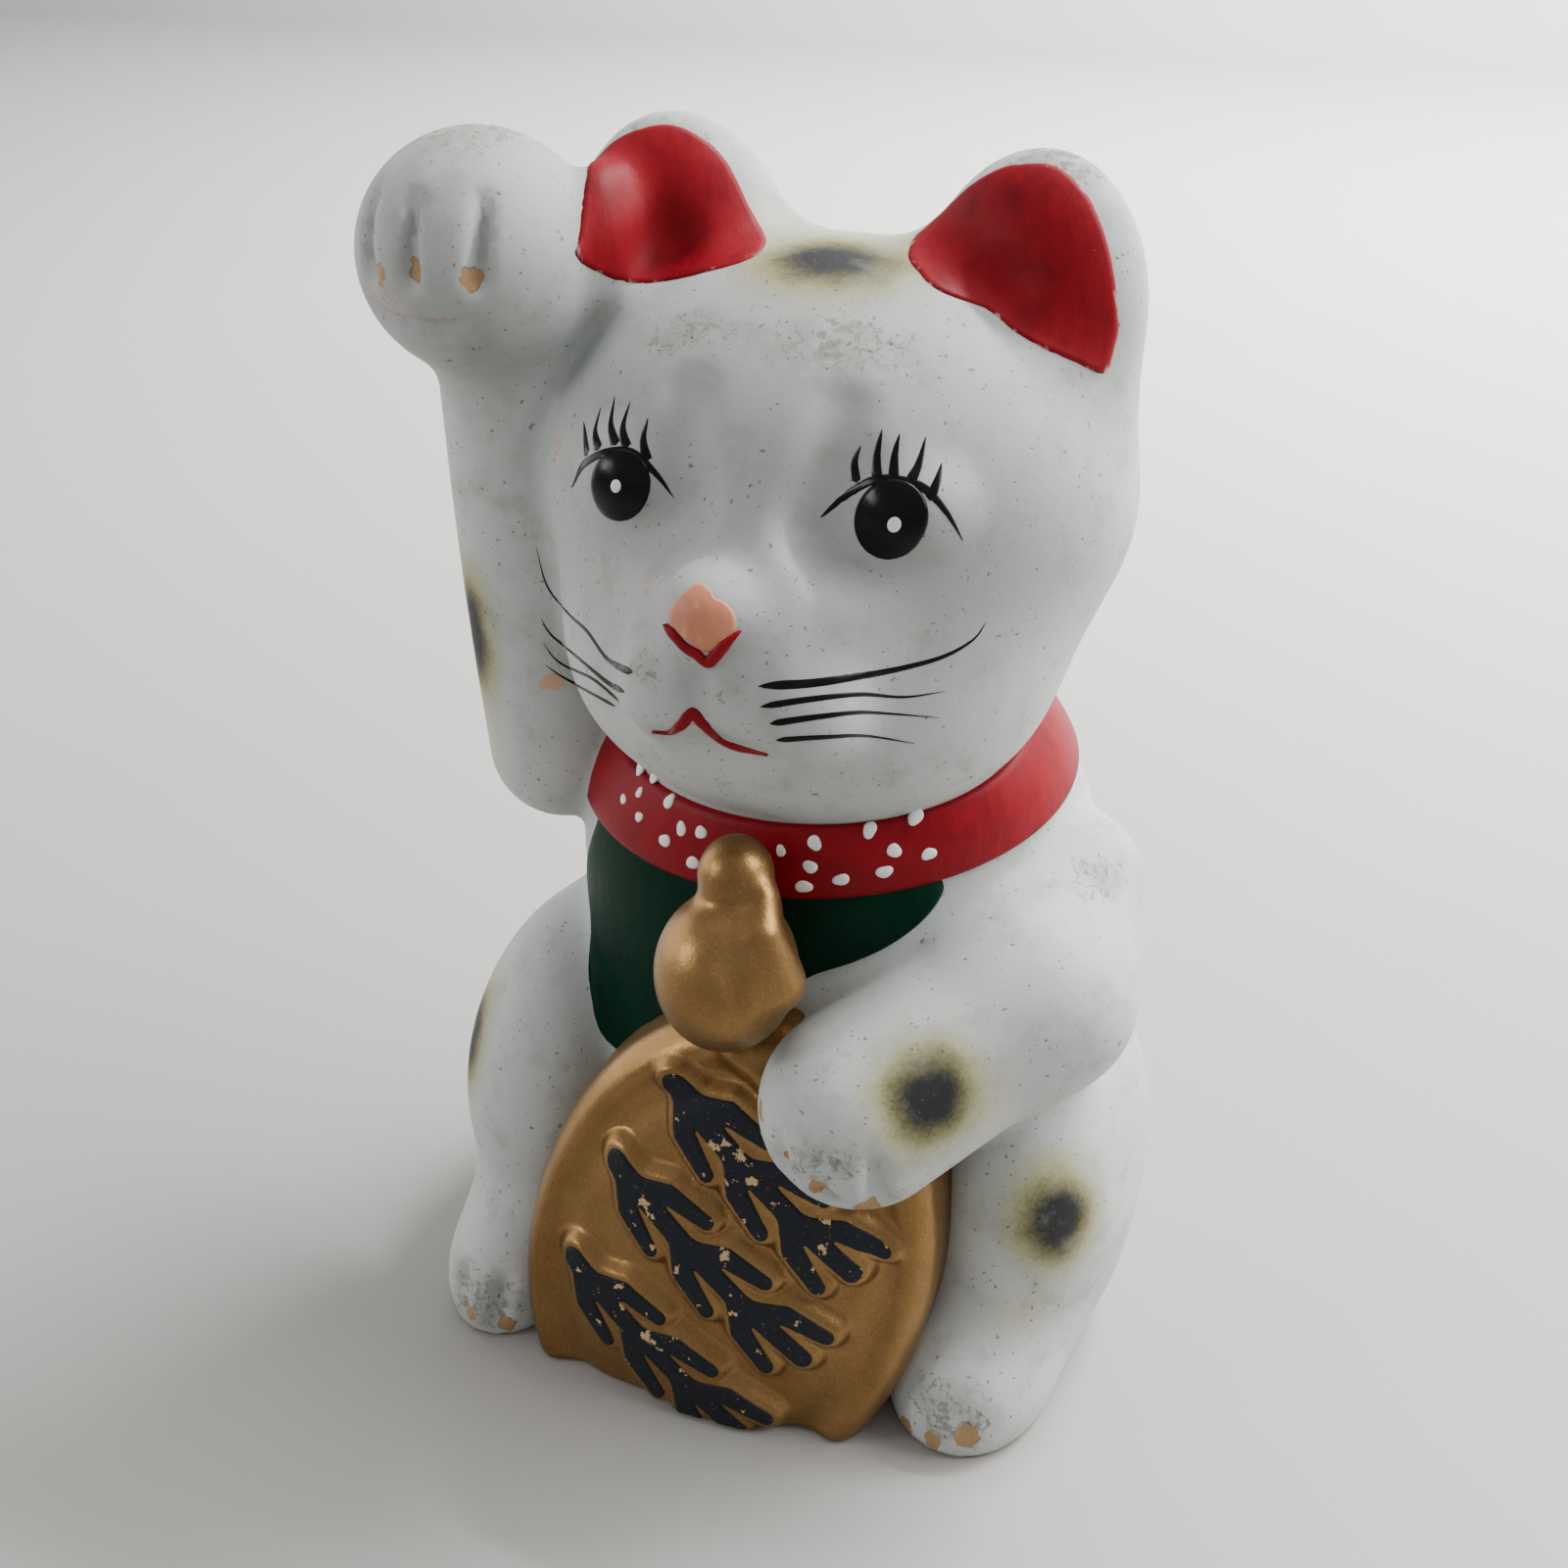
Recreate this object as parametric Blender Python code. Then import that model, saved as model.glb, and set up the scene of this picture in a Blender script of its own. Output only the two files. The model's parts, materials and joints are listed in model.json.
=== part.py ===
"""Beckoning cat savings bank: a hollow clay cat with one paw raised and an oval gold coin under the other.

The figure is pressed in a two-part mould, so its hollow body and head are a front and a back half that meet
at a seam.  Ears, arms, feet, tail, collar, bib, bell, coin and the coin's raised sprigs are moulded by
themselves and luted on.  A slab closes the base and a soft plug stops the hole in it.

Frame: metres, +Z up, the cat faces -Y, its own left side is +X, and the table is at Z = 0.
"""

import math

import bmesh
import bpy
import numpy as np

# ---------------------------------------------------------------- driving dimensions
GAP = 0.0003  # between pieces that touch
ARM_GAP = 0.0006  # round the arms
SLAB_FIT = 0.0012  # between the base slab and the wall round it
WALL = 0.005  # thickness of the hollow halves
SEAM_Y = 0.002  # where the mould halves meet

HEAD_HEIGHT = 0.161  # centre of the skull above the table
HEAD_HALF = (0.0505, 0.043, 0.0395)
JAW_HALF = (0.041, 0.032, 0.026)
JAW_DROP = 0.027  # centre of the jaw below the centre of the skull
JAW_FORWARD = 0.015
MUZZLE_HALF = (0.017, 0.017, 0.015)
MUZZLE_DROP = 0.014
MUZZLE_FORWARD = 0.037
WHISKER_PAD_HALF = (0.010, 0.008, 0.008)
WHISKER_PAD_SIDE = 0.009
WHISKER_PAD_DROP = 0.021
WHISKER_PAD_FORWARD = 0.046

CHEST_HEIGHT = 0.095
CHEST_HALF = (0.048, 0.040, 0.040)
CHEST_BACK = 0.004
HIP_HEIGHT = 0.024
HIP_HALF = (0.054, 0.049, 0.072)
HIP_BACK = 0.008
HAUNCH_HALF = (0.020, 0.031, 0.044)
HAUNCH_HEIGHT = 0.034
HAUNCH_OUT = 0.011  # how far a haunch stands out past the hip
HAUNCH_FORWARD = 0.007
BLEND_FACE = 0.012  # widths over which one clay form flows into the next
BLEND_BODY = 0.016
BLEND_NECK = 0.006
BLEND_HAUNCH = 0.016

EAR_HALF = (0.0195, 0.013, 0.027)
EAR_RISE = 0.0145  # tip above the crown
EAR_SIDE = 0.0305  # middle of an ear from the middle of the head
EAR_BACK = 0.003
EAR_LEAN = math.radians(8)  # tips lean out
EAR_DISH_HALF = (0.012, 0.008, 0.020)
EAR_DISH_DEPTH = 0.0025  # hollow of the inner ear

ARM_RADIUS = 0.0135
ARM_MIDDLE_IN = 0.004  # how much nearer the head than the paw the arm's own middle is
RAISED_PAW_HALF = (0.020, 0.021, 0.019)
RAISED_PAW_HEIGHT = 0.196
RAISED_PAW_OUT = 0.0055  # centre of the raised paw outside the widest part of the head
RAISED_PAW_FORWARD = 0.017
RAISED_SHOULDER = (0.001, 0.008, 0.104)  # inside the chest's side, ahead of its middle, above the table
RAISED_WRIST = (0.002, 0.005, -0.006)  # from the middle of the paw
COIN_SHOULDER = (0.002, 0.002, 0.093)  # inside the chest's side, ahead of its middle, above the table
COIN_ELBOW = (0.003, 0.024, 0.082)
COIN_ELBOW_RADIUS = 0.016
COIN_PAW_RADIUS = 0.017
COIN_PAW_CENTRE = (0.021, -0.046, 0.070)

FOOT_HALF = (0.015, 0.023, 0.015)
FOOT_FORWARD = 0.036
FOOT_HEIGHT = 0.011
TAIL_RADIUS = 0.009
TAIL_REACH = 0.032  # how far the tail curls round to the cat's left
TAIL_HEIGHT = 0.016
TAIL_SUNK = 0.0015  # its middle inside the hip's surface

COLLAR_HEIGHT = 0.1145  # middle of the band on the cat's axis
COLLAR_WIDTH = 0.0125
COLLAR_TILT = math.radians(13)  # the band rises towards the nape
COLLAR_CANT = math.radians(4)  # and towards the cat's left
COLLAR_STAND_OUT = 0.0014  # past the clay under it
BIB_THICKNESS = 0.0012
BIB_TURN = math.radians(-8)  # middle of the bib, towards the cat's right
BIB_HALF_ANGLE = math.radians(50)  # how far it reaches round the chest
BIB_DROP = 0.046  # below the collar
BIB_CORNER_DROP = 0.012  # at its two ends

BELL_HALF = (0.0125, 0.013, 0.0145)
BELL_HEIGHT = 0.093
BELL_FORWARD = 0.049
KNOB_HALF = (0.0063, 0.0065, 0.0070)
KNOB_LIFT = 0.0155  # centre of the hanging loop above the centre of the bell
KNOB_BACK = 0.003

COIN_HALF_WIDTH = 0.037
COIN_HALF_HEIGHT = 0.054
COIN_CENTRE = (-0.0023, 0.028)  # sideways, and above the table
COIN_LEAN = math.radians(17)  # its top leans to the cat's left
COIN_FRONT = 0.058  # front of its middle, at the table, ahead of the cat's axis
COIN_RAKE = math.radians(8)  # it leans back against the belly
COIN_THICKNESS = 0.014
COIN_DOME = 0.005  # its middle stands out past its rim
COIN_SQUARENESS = 2.15  # 2 is an ellipse
SPRIG_RAISE = 0.0018
SPRIG_LENGTH = 0.044
SPRIG_HALF_WIDTH = 0.0070
SPRIG_STEM_SHARE = 0.45  # narrowest part over the widest
SPRIG_TIP_SHARE = 0.1  # keeps the ends from coming to a point
SPRIG_DOME_SHARE = 0.5  # how much lower its edges are than its middle
SPRIG_LEAVES = 3
SPRIG_TURN = math.radians(-21)
SPRIG_PLACES = ((0.0012, 0.026), (-0.0018, 0.006), (-0.0048, -0.017))  # middles, on the coin's own face

BASE_THICKNESS = 0.007
STOPPER_BACK = 0.016  # centre of the hole behind the cat's axis
STOPPER_RADIUS = 0.0117
STOPPER_TAPER = 0.0007
STOPPER_LENGTH = 0.0085
FLANGE_RADIUS = 0.0160
FLANGE_THICKNESS = 0.0020
FLANGE_RECESS = 0.0008  # flange above the table
SLOT_LENGTH = 0.036
SLOT_WIDTH = 0.005
SLOT_HEIGHT = 0.094

COLUMNS = 44  # faces round the body
BODY_RINGS = 20
CROWN_RINGS = 8
LUMP_COLUMNS = 20
LUMP_RINGS = 12
ARM_RINGS = 24
FOREARM_COLUMNS = 24
FOREARM_RINGS = 18
KNOB_COLUMNS = 16
KNOB_RINGS = 10
BIB_ROWS = 9
BIB_COLUMNS = 21
TURNED_COLUMNS = 32
COIN_COLUMNS = 48
COIN_RINGS = (0.25, 0.5, 0.75, 0.92, 1)  # shares of the coin's radius
COIN_BACK_RING = 0.5
SPRIG_ROWS = 25
SPRIG_COLUMNS = 5
BISECTIONS = 32
MERGE = 1e-6  # points nearer than this are one, as at a pole
FAR = 0.2  # longer than anything here
BELOW = 0.002  # how far a cutter reaches under the table

WHITE = (0.80, 0.82, 0.80)
RED = (0.60, 0.03, 0.03)
GREEN = (0.01, 0.13, 0.06)
GOLD = (0.50, 0.30, 0.10)
BLACK = (0.015, 0.017, 0.02)
CLAY = (0.42, 0.26, 0.13)
RUBBER = (0.25, 0.24, 0.22)


# ---------------------------------------------------------------- fields: negative inside the clay
def ellipsoid(points, centre, half):
    """Nearly the distance to an ellipsoid's surface."""
    offset = points - np.array(centre)
    half = np.array(half)
    near = np.linalg.norm(offset / half, axis=1)
    slope = np.linalg.norm(offset / half**2, axis=1) + 1e-9
    return near * (near - 1) / slope


def taper(points, start, end, start_radius, end_radius):
    """Distance to a limb that runs from one ball to another."""
    start = np.array(start)
    along = np.array(end) - start
    share = np.clip((points - start) @ along / (along @ along), 0, 1)
    away = np.linalg.norm(points - start - share[:, None] * along, axis=1)
    return away - (start_radius + (end_radius - start_radius) * share)


def joined(a, b, width):
    """Two forms made one, with a fillet about this wide where they meet."""
    share = np.clip(0.5 + 0.5 * (b - a) / width, 0, 1)
    return b + (a - b) * share - width * share * (1 - share)


def mirrored(points):
    """Folds the cat's right side onto its left."""
    return np.abs(points * (1, 0, 0)) + points * (0, 1, 1)


def haunch_side():
    return HIP_HALF[0] + HAUNCH_OUT - HAUNCH_HALF[0]


def casting(points):
    """The hollow part of the cat: head, chest, hips and haunches."""
    both = mirrored(points)
    head = ellipsoid(points, (0, 0, HEAD_HEIGHT), HEAD_HALF)
    jaw = ellipsoid(points, (0, -JAW_FORWARD, HEAD_HEIGHT - JAW_DROP), JAW_HALF)
    muzzle = ellipsoid(points, (0, -MUZZLE_FORWARD, HEAD_HEIGHT - MUZZLE_DROP), MUZZLE_HALF)
    pad_centre = (WHISKER_PAD_SIDE, -WHISKER_PAD_FORWARD, HEAD_HEIGHT - WHISKER_PAD_DROP)
    pads = ellipsoid(both, pad_centre, WHISKER_PAD_HALF)
    head = joined(joined(joined(head, jaw, BLEND_FACE), muzzle, BLEND_FACE), pads, BLEND_NECK)
    chest = ellipsoid(points, (0, CHEST_BACK, CHEST_HEIGHT), CHEST_HALF)
    hips = ellipsoid(points, (0, HIP_BACK, HIP_HEIGHT), HIP_HALF)
    haunch = ellipsoid(both, (haunch_side(), -HAUNCH_FORWARD, HAUNCH_HEIGHT), HAUNCH_HALF)
    body = joined(joined(chest, hips, BLEND_BODY), haunch, BLEND_HAUNCH)
    return joined(head, body, BLEND_NECK)


def neck(points):
    """The chest and throat that the collar lies on, without the chin above it."""
    chest = ellipsoid(points, (0, CHEST_BACK, CHEST_HEIGHT), CHEST_HALF)
    jaw = ellipsoid(points, (0, -JAW_FORWARD / 2, HEAD_HEIGHT - JAW_DROP), JAW_HALF)
    return joined(chest, jaw, BLEND_FACE)


def crown_height():
    return HEAD_HEIGHT + HEAD_HALF[2]


def ear_centre(side):
    return (side * EAR_SIDE, EAR_BACK, crown_height() + EAR_RISE - EAR_HALF[2])


def ear_frame(points, side):
    """Points as the ear sees them, upright about its own middle."""
    offset = (points - ear_centre(side)) * (side, 1, 1)
    cos, sin = math.cos(EAR_LEAN), math.sin(EAR_LEAN)
    return offset @ np.array([[cos, 0, sin], [0, 1, 0], [-sin, 0, cos]])


def ear(points, side):
    """One ear: a flattened egg that leans out a little."""
    return ellipsoid(ear_frame(points, side), (0, 0, 0), EAR_HALF)


def ear_dish(points, side):
    """The hollow in the front of an ear."""
    forward = EAR_HALF[1] + EAR_DISH_HALF[1] - EAR_DISH_DEPTH
    return ellipsoid(ear_frame(points, side), (0, -forward, 0), EAR_DISH_HALF)


def raised_paw_centre():
    return (-HEAD_HALF[0] - RAISED_PAW_OUT, -RAISED_PAW_FORWARD, RAISED_PAW_HEIGHT)


def raised_arm(points):
    """The cat's right arm, up along the cheek to the beckoning paw."""
    paw = raised_paw_centre()
    shoulder = (RAISED_SHOULDER[0] - CHEST_HALF[0], -RAISED_SHOULDER[1], RAISED_SHOULDER[2])
    wrist = [a + b for a, b in zip(paw, RAISED_WRIST)]
    arm = taper(points, shoulder, wrist, ARM_RADIUS, ARM_RADIUS)
    return joined(arm, ellipsoid(points, paw, RAISED_PAW_HALF), BLEND_NECK)


def coin_elbow():
    return (CHEST_HALF[0] - COIN_ELBOW[0], -COIN_ELBOW[1], COIN_ELBOW[2])


def coin_arm(points):
    """The cat's left arm, bent across the chest with its paw on the coin."""
    shoulder = (CHEST_HALF[0] - COIN_SHOULDER[0], -COIN_SHOULDER[1], COIN_SHOULDER[2])
    upper = taper(points, shoulder, coin_elbow(), ARM_RADIUS, COIN_ELBOW_RADIUS)
    fore = taper(points, coin_elbow(), COIN_PAW_CENTRE, COIN_ELBOW_RADIUS, COIN_PAW_RADIUS)
    return joined(upper, fore, BLEND_NECK)


def foot(points, side):
    """A foot, flat underneath."""
    centre = (side * haunch_side(), -FOOT_FORWARD, FOOT_HEIGHT)
    return np.maximum(ellipsoid(points, centre, FOOT_HALF), -points[:, 2])


def tail_ends():
    """The tail's root at the middle of the back, and its tip round on the cat's left hip."""
    angle = math.asin(TAIL_REACH / HIP_HALF[0])
    reach = HIP_HALF[1] - TAIL_SUNK
    tip = (TAIL_REACH, HIP_BACK + reach * math.cos(angle), TAIL_HEIGHT)
    return (0, HIP_BACK + reach, TAIL_HEIGHT), tip


def tail(points):
    """A short tail lying round the back of the hips."""
    root, tip = tail_ends()
    return np.maximum(taper(points, root, tip, TAIL_RADIUS, TAIL_RADIUS), -points[:, 2])


def bell(points):
    return ellipsoid(points, (0, -BELL_FORWARD, BELL_HEIGHT), BELL_HALF)


def bell_knob(points):
    centre = (0, KNOB_BACK - BELL_FORWARD, BELL_HEIGHT + KNOB_LIFT)
    return ellipsoid(points, centre, KNOB_HALF)


# ---------------------------------------------------------------- meshes
def material(name, colour, roughness, metallic=0.0):
    made = bpy.data.materials.new(name)
    made.use_nodes = True
    shader = made.node_tree.nodes["Principled BSDF"]
    shader.inputs["Base Color"].default_value = (*colour, 1)
    shader.inputs["Roughness"].default_value = roughness
    shader.inputs["Metallic"].default_value = metallic
    return made


def solid(name, vertices, faces, finish=None):
    """An object from points and faces, its faces pointing out.  With no finish it is a hidden cutter."""
    mesh = bpy.data.meshes.new(name)
    mesh.from_pydata([tuple(map(float, v)) for v in vertices], [], faces)
    work = bmesh.new()
    work.from_mesh(mesh)
    bmesh.ops.remove_doubles(work, verts=work.verts, dist=MERGE)
    bmesh.ops.triangulate(work, faces=work.faces, quad_method="FIXED")
    bmesh.ops.recalc_face_normals(work, faces=work.faces)
    work.to_mesh(mesh)
    work.free()
    made = bpy.data.objects.new(name, mesh)
    bpy.context.scene.collection.objects.link(made)
    if finish is None:
        made.hide_render = True
        made.display_type = "WIRE"
    else:
        mesh.materials.append(finish)
        mesh.shade_smooth()
    return made


def crossing(field, origins, directions, level):
    """Where rays from inside a form leave it, found by halving."""
    near = np.zeros(len(origins))
    far = np.full(len(origins), FAR)
    for _ in range(BISECTIONS):
        middle = (near + far) / 2
        inside = field(origins + directions * middle[:, None]) < level
        near = np.where(inside, middle, near)
        far = np.where(inside, far, middle)
    return origins + directions * near[:, None]


def grid_faces(rings, columns):
    """Quads between neighbouring rings of points, each ring closed on itself."""
    faces = []
    for ring in range(rings - 1):
        for column in range(columns):
            after = (column + 1) % columns
            low = ring * columns
            faces.append((low + column, low + after, low + columns + after, low + columns + column))
    return faces


def cap_faces(rings, columns, pole):
    """A fan of triangles from a pole to the last ring."""
    last = (rings - 1) * columns
    return [(last + c, last + (c + 1) % columns, pole) for c in range(columns)]


def body_rows():
    """Heights and upward slants of the rings of rays that find the body's surface."""
    upright = [(HEAD_HEIGHT * ring / BODY_RINGS, 0.0) for ring in range(BODY_RINGS)]
    crown = [(HEAD_HEIGHT, step / CROWN_RINGS * math.pi / 2) for step in range(CROWN_RINGS + 1)]
    return upright + crown


def body_ring(turn, seam, height, lift, level):
    """Points of the casting's surface in sight of its axis, one for each angle."""
    flat = np.stack([np.cos(turn), np.sin(turn), 0 * turn], axis=1)
    directions = flat * math.cos(lift) + (0, 0, math.sin(lift))
    return crossing(casting, np.tile((0, seam, height), (len(turn), 1)), directions, level)


def upright_solid(name, level, rows, finish=None):
    """The casting, shrunk or grown to a level, as one solid through these rows."""
    turn = np.arange(COLUMNS) * 2 * math.pi / COLUMNS
    rings = [body_ring(turn, SEAM_Y, height, lift, level) for height, lift in rows]
    faces = grid_faces(len(rings), COLUMNS) + [tuple(range(COLUMNS))]
    if rows[-1][1] == 0:
        faces.append(tuple(range((len(rings) - 1) * COLUMNS, len(rings) * COLUMNS)))
    return solid(name, np.concatenate(rings), faces, finish)


def lump(name, field, centre, pole, level=0.0, finish=None, columns=LUMP_COLUMNS, rings=LUMP_RINGS):
    """A form whose whole surface is in sight of its centre, as rings of points about the pole."""
    pole = np.array(pole, float) / np.linalg.norm(pole)
    side = np.cross(pole, (0, 1, 0) if abs(pole[1]) < 0.9 else (1, 0, 0))
    side /= np.linalg.norm(side)
    front = np.cross(pole, side)
    turn = np.arange(columns) * 2 * math.pi / columns
    round_pole = np.outer(np.cos(turn), side) + np.outer(np.sin(turn), front)
    directions = [-pole[None]]
    for ring in range(1, rings):
        lift = ring * math.pi / rings
        directions.append(round_pole * math.sin(lift) - pole * math.cos(lift))
    directions = np.concatenate([*directions, pole[None]])
    points = crossing(field, np.tile(centre, (len(directions), 1)), directions, level)
    faces = [tuple(1 + i for i in face) for face in grid_faces(rings - 1, columns)]
    faces += [(1 + (c + 1) % columns, 1 + c, 0) for c in range(columns)]
    faces += [tuple(1 + i for i in face) for face in cap_faces(rings - 1, columns, len(points) - 2)]
    return solid(name, points, faces, finish)


def box(name, low, high):
    corners = [(x, y, z) for x in (low[0], high[0]) for y in (low[1], high[1]) for z in (low[2], high[2])]
    faces = [(0, 1, 3, 2), (4, 6, 7, 5), (0, 4, 5, 1), (2, 3, 7, 6), (0, 2, 6, 4), (1, 5, 7, 3)]
    return solid(name, corners, faces)


def slab(name, front, back, finish):
    """A closed sheet between two grids of points, each an array of rows, columns and x, y, z."""
    rows, columns, _ = front.shape
    points = np.concatenate([front.reshape(-1, 3), back.reshape(-1, 3)])
    faces = []
    for row in range(rows - 1):
        for column in range(columns - 1):
            a = row * columns + column
            b = a + rows * columns
            faces.append((a, a + 1, a + columns + 1, a + columns))
            faces.append((b, b + columns, b + columns + 1, b + 1))
    top = [c for c in range(columns)]
    right = [r * columns + columns - 1 for r in range(1, rows)]
    bottom = [(rows - 1) * columns + c for c in range(columns - 2, -1, -1)]
    left = [r * columns for r in range(rows - 2, 0, -1)]
    edge = top + right + bottom + left
    shift = rows * columns
    faces += [(a, b, b + shift, a + shift) for a, b in zip(edge, edge[1:] + edge[:1])]
    return solid(name, points, faces, finish)


def turned(name, profile, centre, finish, columns=TURNED_COLUMNS):
    """A solid of revolution about Z: profile is (radius, height) points from its bottom to its top."""
    turn = np.arange(columns) * 2 * math.pi / columns
    rings = [
        np.stack([centre[0] + r * np.cos(turn), centre[1] + r * np.sin(turn), 0 * turn + z], axis=1)
        for r, z in profile
    ]
    faces = grid_faces(len(rings), columns) + [tuple(range(columns))]
    last = (len(rings) - 1) * columns
    faces.append(tuple(range(last, last + columns)))
    return solid(name, np.concatenate(rings), faces, finish)


def cut(made, *cutters, operation="DIFFERENCE"):
    for cutter in cutters:
        modifier = made.modifiers.new(cutter.name, "BOOLEAN")
        modifier.operation = operation
        modifier.object = cutter
        modifier.solver = "EXACT"
    return made


# ---------------------------------------------------------------- the pieces
def half_grid(side, level):
    """One half of the casting's surface: rows from the base to the crown, columns from seam to seam."""
    seam = SEAM_Y + side * GAP / 2
    turn = np.linspace(0, math.pi, COLUMNS // 2 + 1) + (math.pi if side < 0 else 0)
    return np.array([body_ring(turn, seam, height, lift, level) for height, lift in body_rows()])


def build_halves(finish):
    """The hollow front and back halves, open at the base and at the coin slot."""
    slab("body_front_half", half_grid(-1, 0.0), half_grid(-1, -WALL), finish)
    back = slab("body_back_half", half_grid(1, 0.0), half_grid(1, -WALL), finish)
    slot = box(
        "slot_cutter",
        (-SLOT_LENGTH / 2, SEAM_Y + WALL, SLOT_HEIGHT - SLOT_WIDTH / 2),
        (SLOT_LENGTH / 2, FAR, SLOT_HEIGHT + SLOT_WIDTH / 2),
    )
    cut(back, slot)


def build_base(clay, rubber):
    """The slab, with its counterbored hole, and the plug in it."""
    rows = [(BASE_THICKNESS * share, 0.0) for share in (0, 0.5, 1)]
    slab_made = upright_solid("base_slab", -WALL - SLAB_FIT, rows, clay)
    recess = FLANGE_RECESS + FLANGE_THICKNESS + GAP
    hole_profile = [
        (FLANGE_RADIUS + GAP, -BELOW),
        (FLANGE_RADIUS + GAP, recess),
        (STOPPER_RADIUS + GAP, recess),
        (STOPPER_RADIUS + GAP, BASE_THICKNESS + BELOW),
    ]
    cut(slab_made, turned("hole_cutter", hole_profile, (0, STOPPER_BACK), None))
    top = FLANGE_RECESS + FLANGE_THICKNESS
    plug_profile = [
        (FLANGE_RADIUS, FLANGE_RECESS),
        (FLANGE_RADIUS, top),
        (STOPPER_RADIUS, top),
        (STOPPER_RADIUS - STOPPER_TAPER, top + STOPPER_LENGTH),
    ]
    stopper = turned("stopper", plug_profile, (0, 0), rubber)
    stopper.location = (0, STOPPER_BACK, 0)


def build_ears(white, body):
    """Two dished ears.  Returns the right one's grown cutter, which the raised paw stands behind."""
    for name, side in (("ear_left", 1), ("ear_right", -1)):
        centre = ear_centre(side)
        hollow = (centre[0], centre[1] - EAR_HALF[1] - EAR_DISH_HALF[1] + EAR_DISH_DEPTH, centre[2])

        def shape(points, side=side):
            return ear(points, side)

        def dish(points, side=side):
            return ear_dish(points, side)

        made = lump(name, shape, centre, (0, 0, 1), finish=white)
        grown = lump(name + "_grown", shape, centre, (0, 0, 1), GAP)
        cut(made, body, lump(name + "_dish", dish, hollow, (0, 0, 1)))
    return grown


def build_arms(white, body, ear_grown):
    """The two arms, each with its paw.  Returns a grown cutter for each."""
    paw = raised_paw_centre()
    reach = (paw[0] + ARM_MIDDLE_IN, paw[1] + RAISED_WRIST[1], (paw[2] + RAISED_SHOULDER[2]) / 2)
    raised = lump("raised_arm", raised_arm, reach, (0, 0, 1), finish=white, rings=ARM_RINGS)
    raised_grown = lump("raised_arm_grown", raised_arm, reach, (0, 0, 1), ARM_GAP, rings=ARM_RINGS)
    cut(raised, body, ear_grown)
    elbow = coin_elbow()
    net = {"columns": FOREARM_COLUMNS, "rings": FOREARM_RINGS}
    fore = lump("coin_arm", coin_arm, elbow, COIN_PAW_CENTRE, finish=white, **net)
    fore_grown = lump("coin_arm_grown", coin_arm, elbow, COIN_PAW_CENTRE, ARM_GAP, **net)
    cut(fore, body)
    return raised_grown, fore_grown


def build_feet_and_tail(white, body, coin_grown):
    for name, side in (("foot_left", 1), ("foot_right", -1)):
        centre = (side * haunch_side(), -FOOT_FORWARD, FOOT_HEIGHT)

        def shape(points, side=side):
            return foot(points, side)

        cut(lump(name, shape, centre, (0, 1, 0), finish=white), body, coin_grown)
    middle = [(a + b) / 2 for a, b in zip(*tail_ends())]
    cut(lump("tail", tail, middle, (1, 0, 0), finish=white), body)


def tilted_rays(turn, offset):
    """Rays out from the cat's axis in the collar's tilted plane, this far above the band's middle."""
    rise = math.tan(COLLAR_TILT) * np.sin(turn) + math.tan(COLLAR_CANT) * np.cos(turn)
    origins = np.stack([0 * turn, 0 * turn, COLLAR_HEIGHT + offset + 0 * turn], axis=1)
    return origins, np.stack([np.cos(turn), np.sin(turn), rise], axis=1)


def build_collar(finish, body, arms):
    """A band round the neck.  Returns a grown cutter."""
    made = []
    turn = np.arange(COLUMNS) * 2 * math.pi / COLUMNS
    for name, grow in (("collar", 0.0), ("collar_grown", GAP)):
        rings = []
        for offset in (-COLLAR_WIDTH / 2 - grow, 0.0, COLLAR_WIDTH / 2 + grow):
            rings.append(crossing(neck, *tilted_rays(turn, offset), COLLAR_STAND_OUT + grow))
        faces = grid_faces(3, COLUMNS)
        faces += [tuple(range(COLUMNS)), tuple(range(2 * COLUMNS, 3 * COLUMNS))]
        made.append(solid(name, np.concatenate(rings), faces, None if grow else finish))
    cut(made[0], body, *arms)
    return made[1]


def build_bib(finish, cutters):
    """A thin apron on the chest, hung from the collar."""
    across = np.linspace(-1, 1, BIB_COLUMNS)
    turn = -math.pi / 2 + BIB_TURN + across * BIB_HALF_ANGLE
    drop = BIB_CORNER_DROP + (BIB_DROP - BIB_CORNER_DROP) * np.sqrt(np.maximum(0, 1 - across**2))
    faces = []
    for level in (GAP + BIB_THICKNESS, -BIB_THICKNESS):
        grid = []
        for share in np.linspace(0, 1, BIB_ROWS):
            offset = -COLLAR_WIDTH / 2 - 2 * GAP - drop * share
            grid.append(crossing(casting, *tilted_rays(turn, offset), level))
        faces.append(np.array(grid))
    cut(slab("bib", *faces, finish), *cutters)


def build_bell(finish, body, collar):
    """The bell and the loop that it hangs by.  Returns a grown cutter for each."""
    centre = (0, -BELL_FORWARD, BELL_HEIGHT)
    loop = (0, KNOB_BACK - BELL_FORWARD, BELL_HEIGHT + KNOB_LIFT)
    made = lump("bell", bell, centre, (0, 0, 1), finish=finish)
    grown = lump("bell_grown", bell, centre, (0, 0, 1), GAP)
    net = {"columns": KNOB_COLUMNS, "rings": KNOB_RINGS}
    knob = lump("bell_knob", bell_knob, loop, (0, 0, 1), finish=finish, **net)
    knob_grown = lump("bell_knob_grown", bell_knob, loop, (0, 0, 1), GAP, **net)
    cut(made, body, collar)
    cut(knob, body, grown, collar)
    return grown, knob_grown


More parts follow.
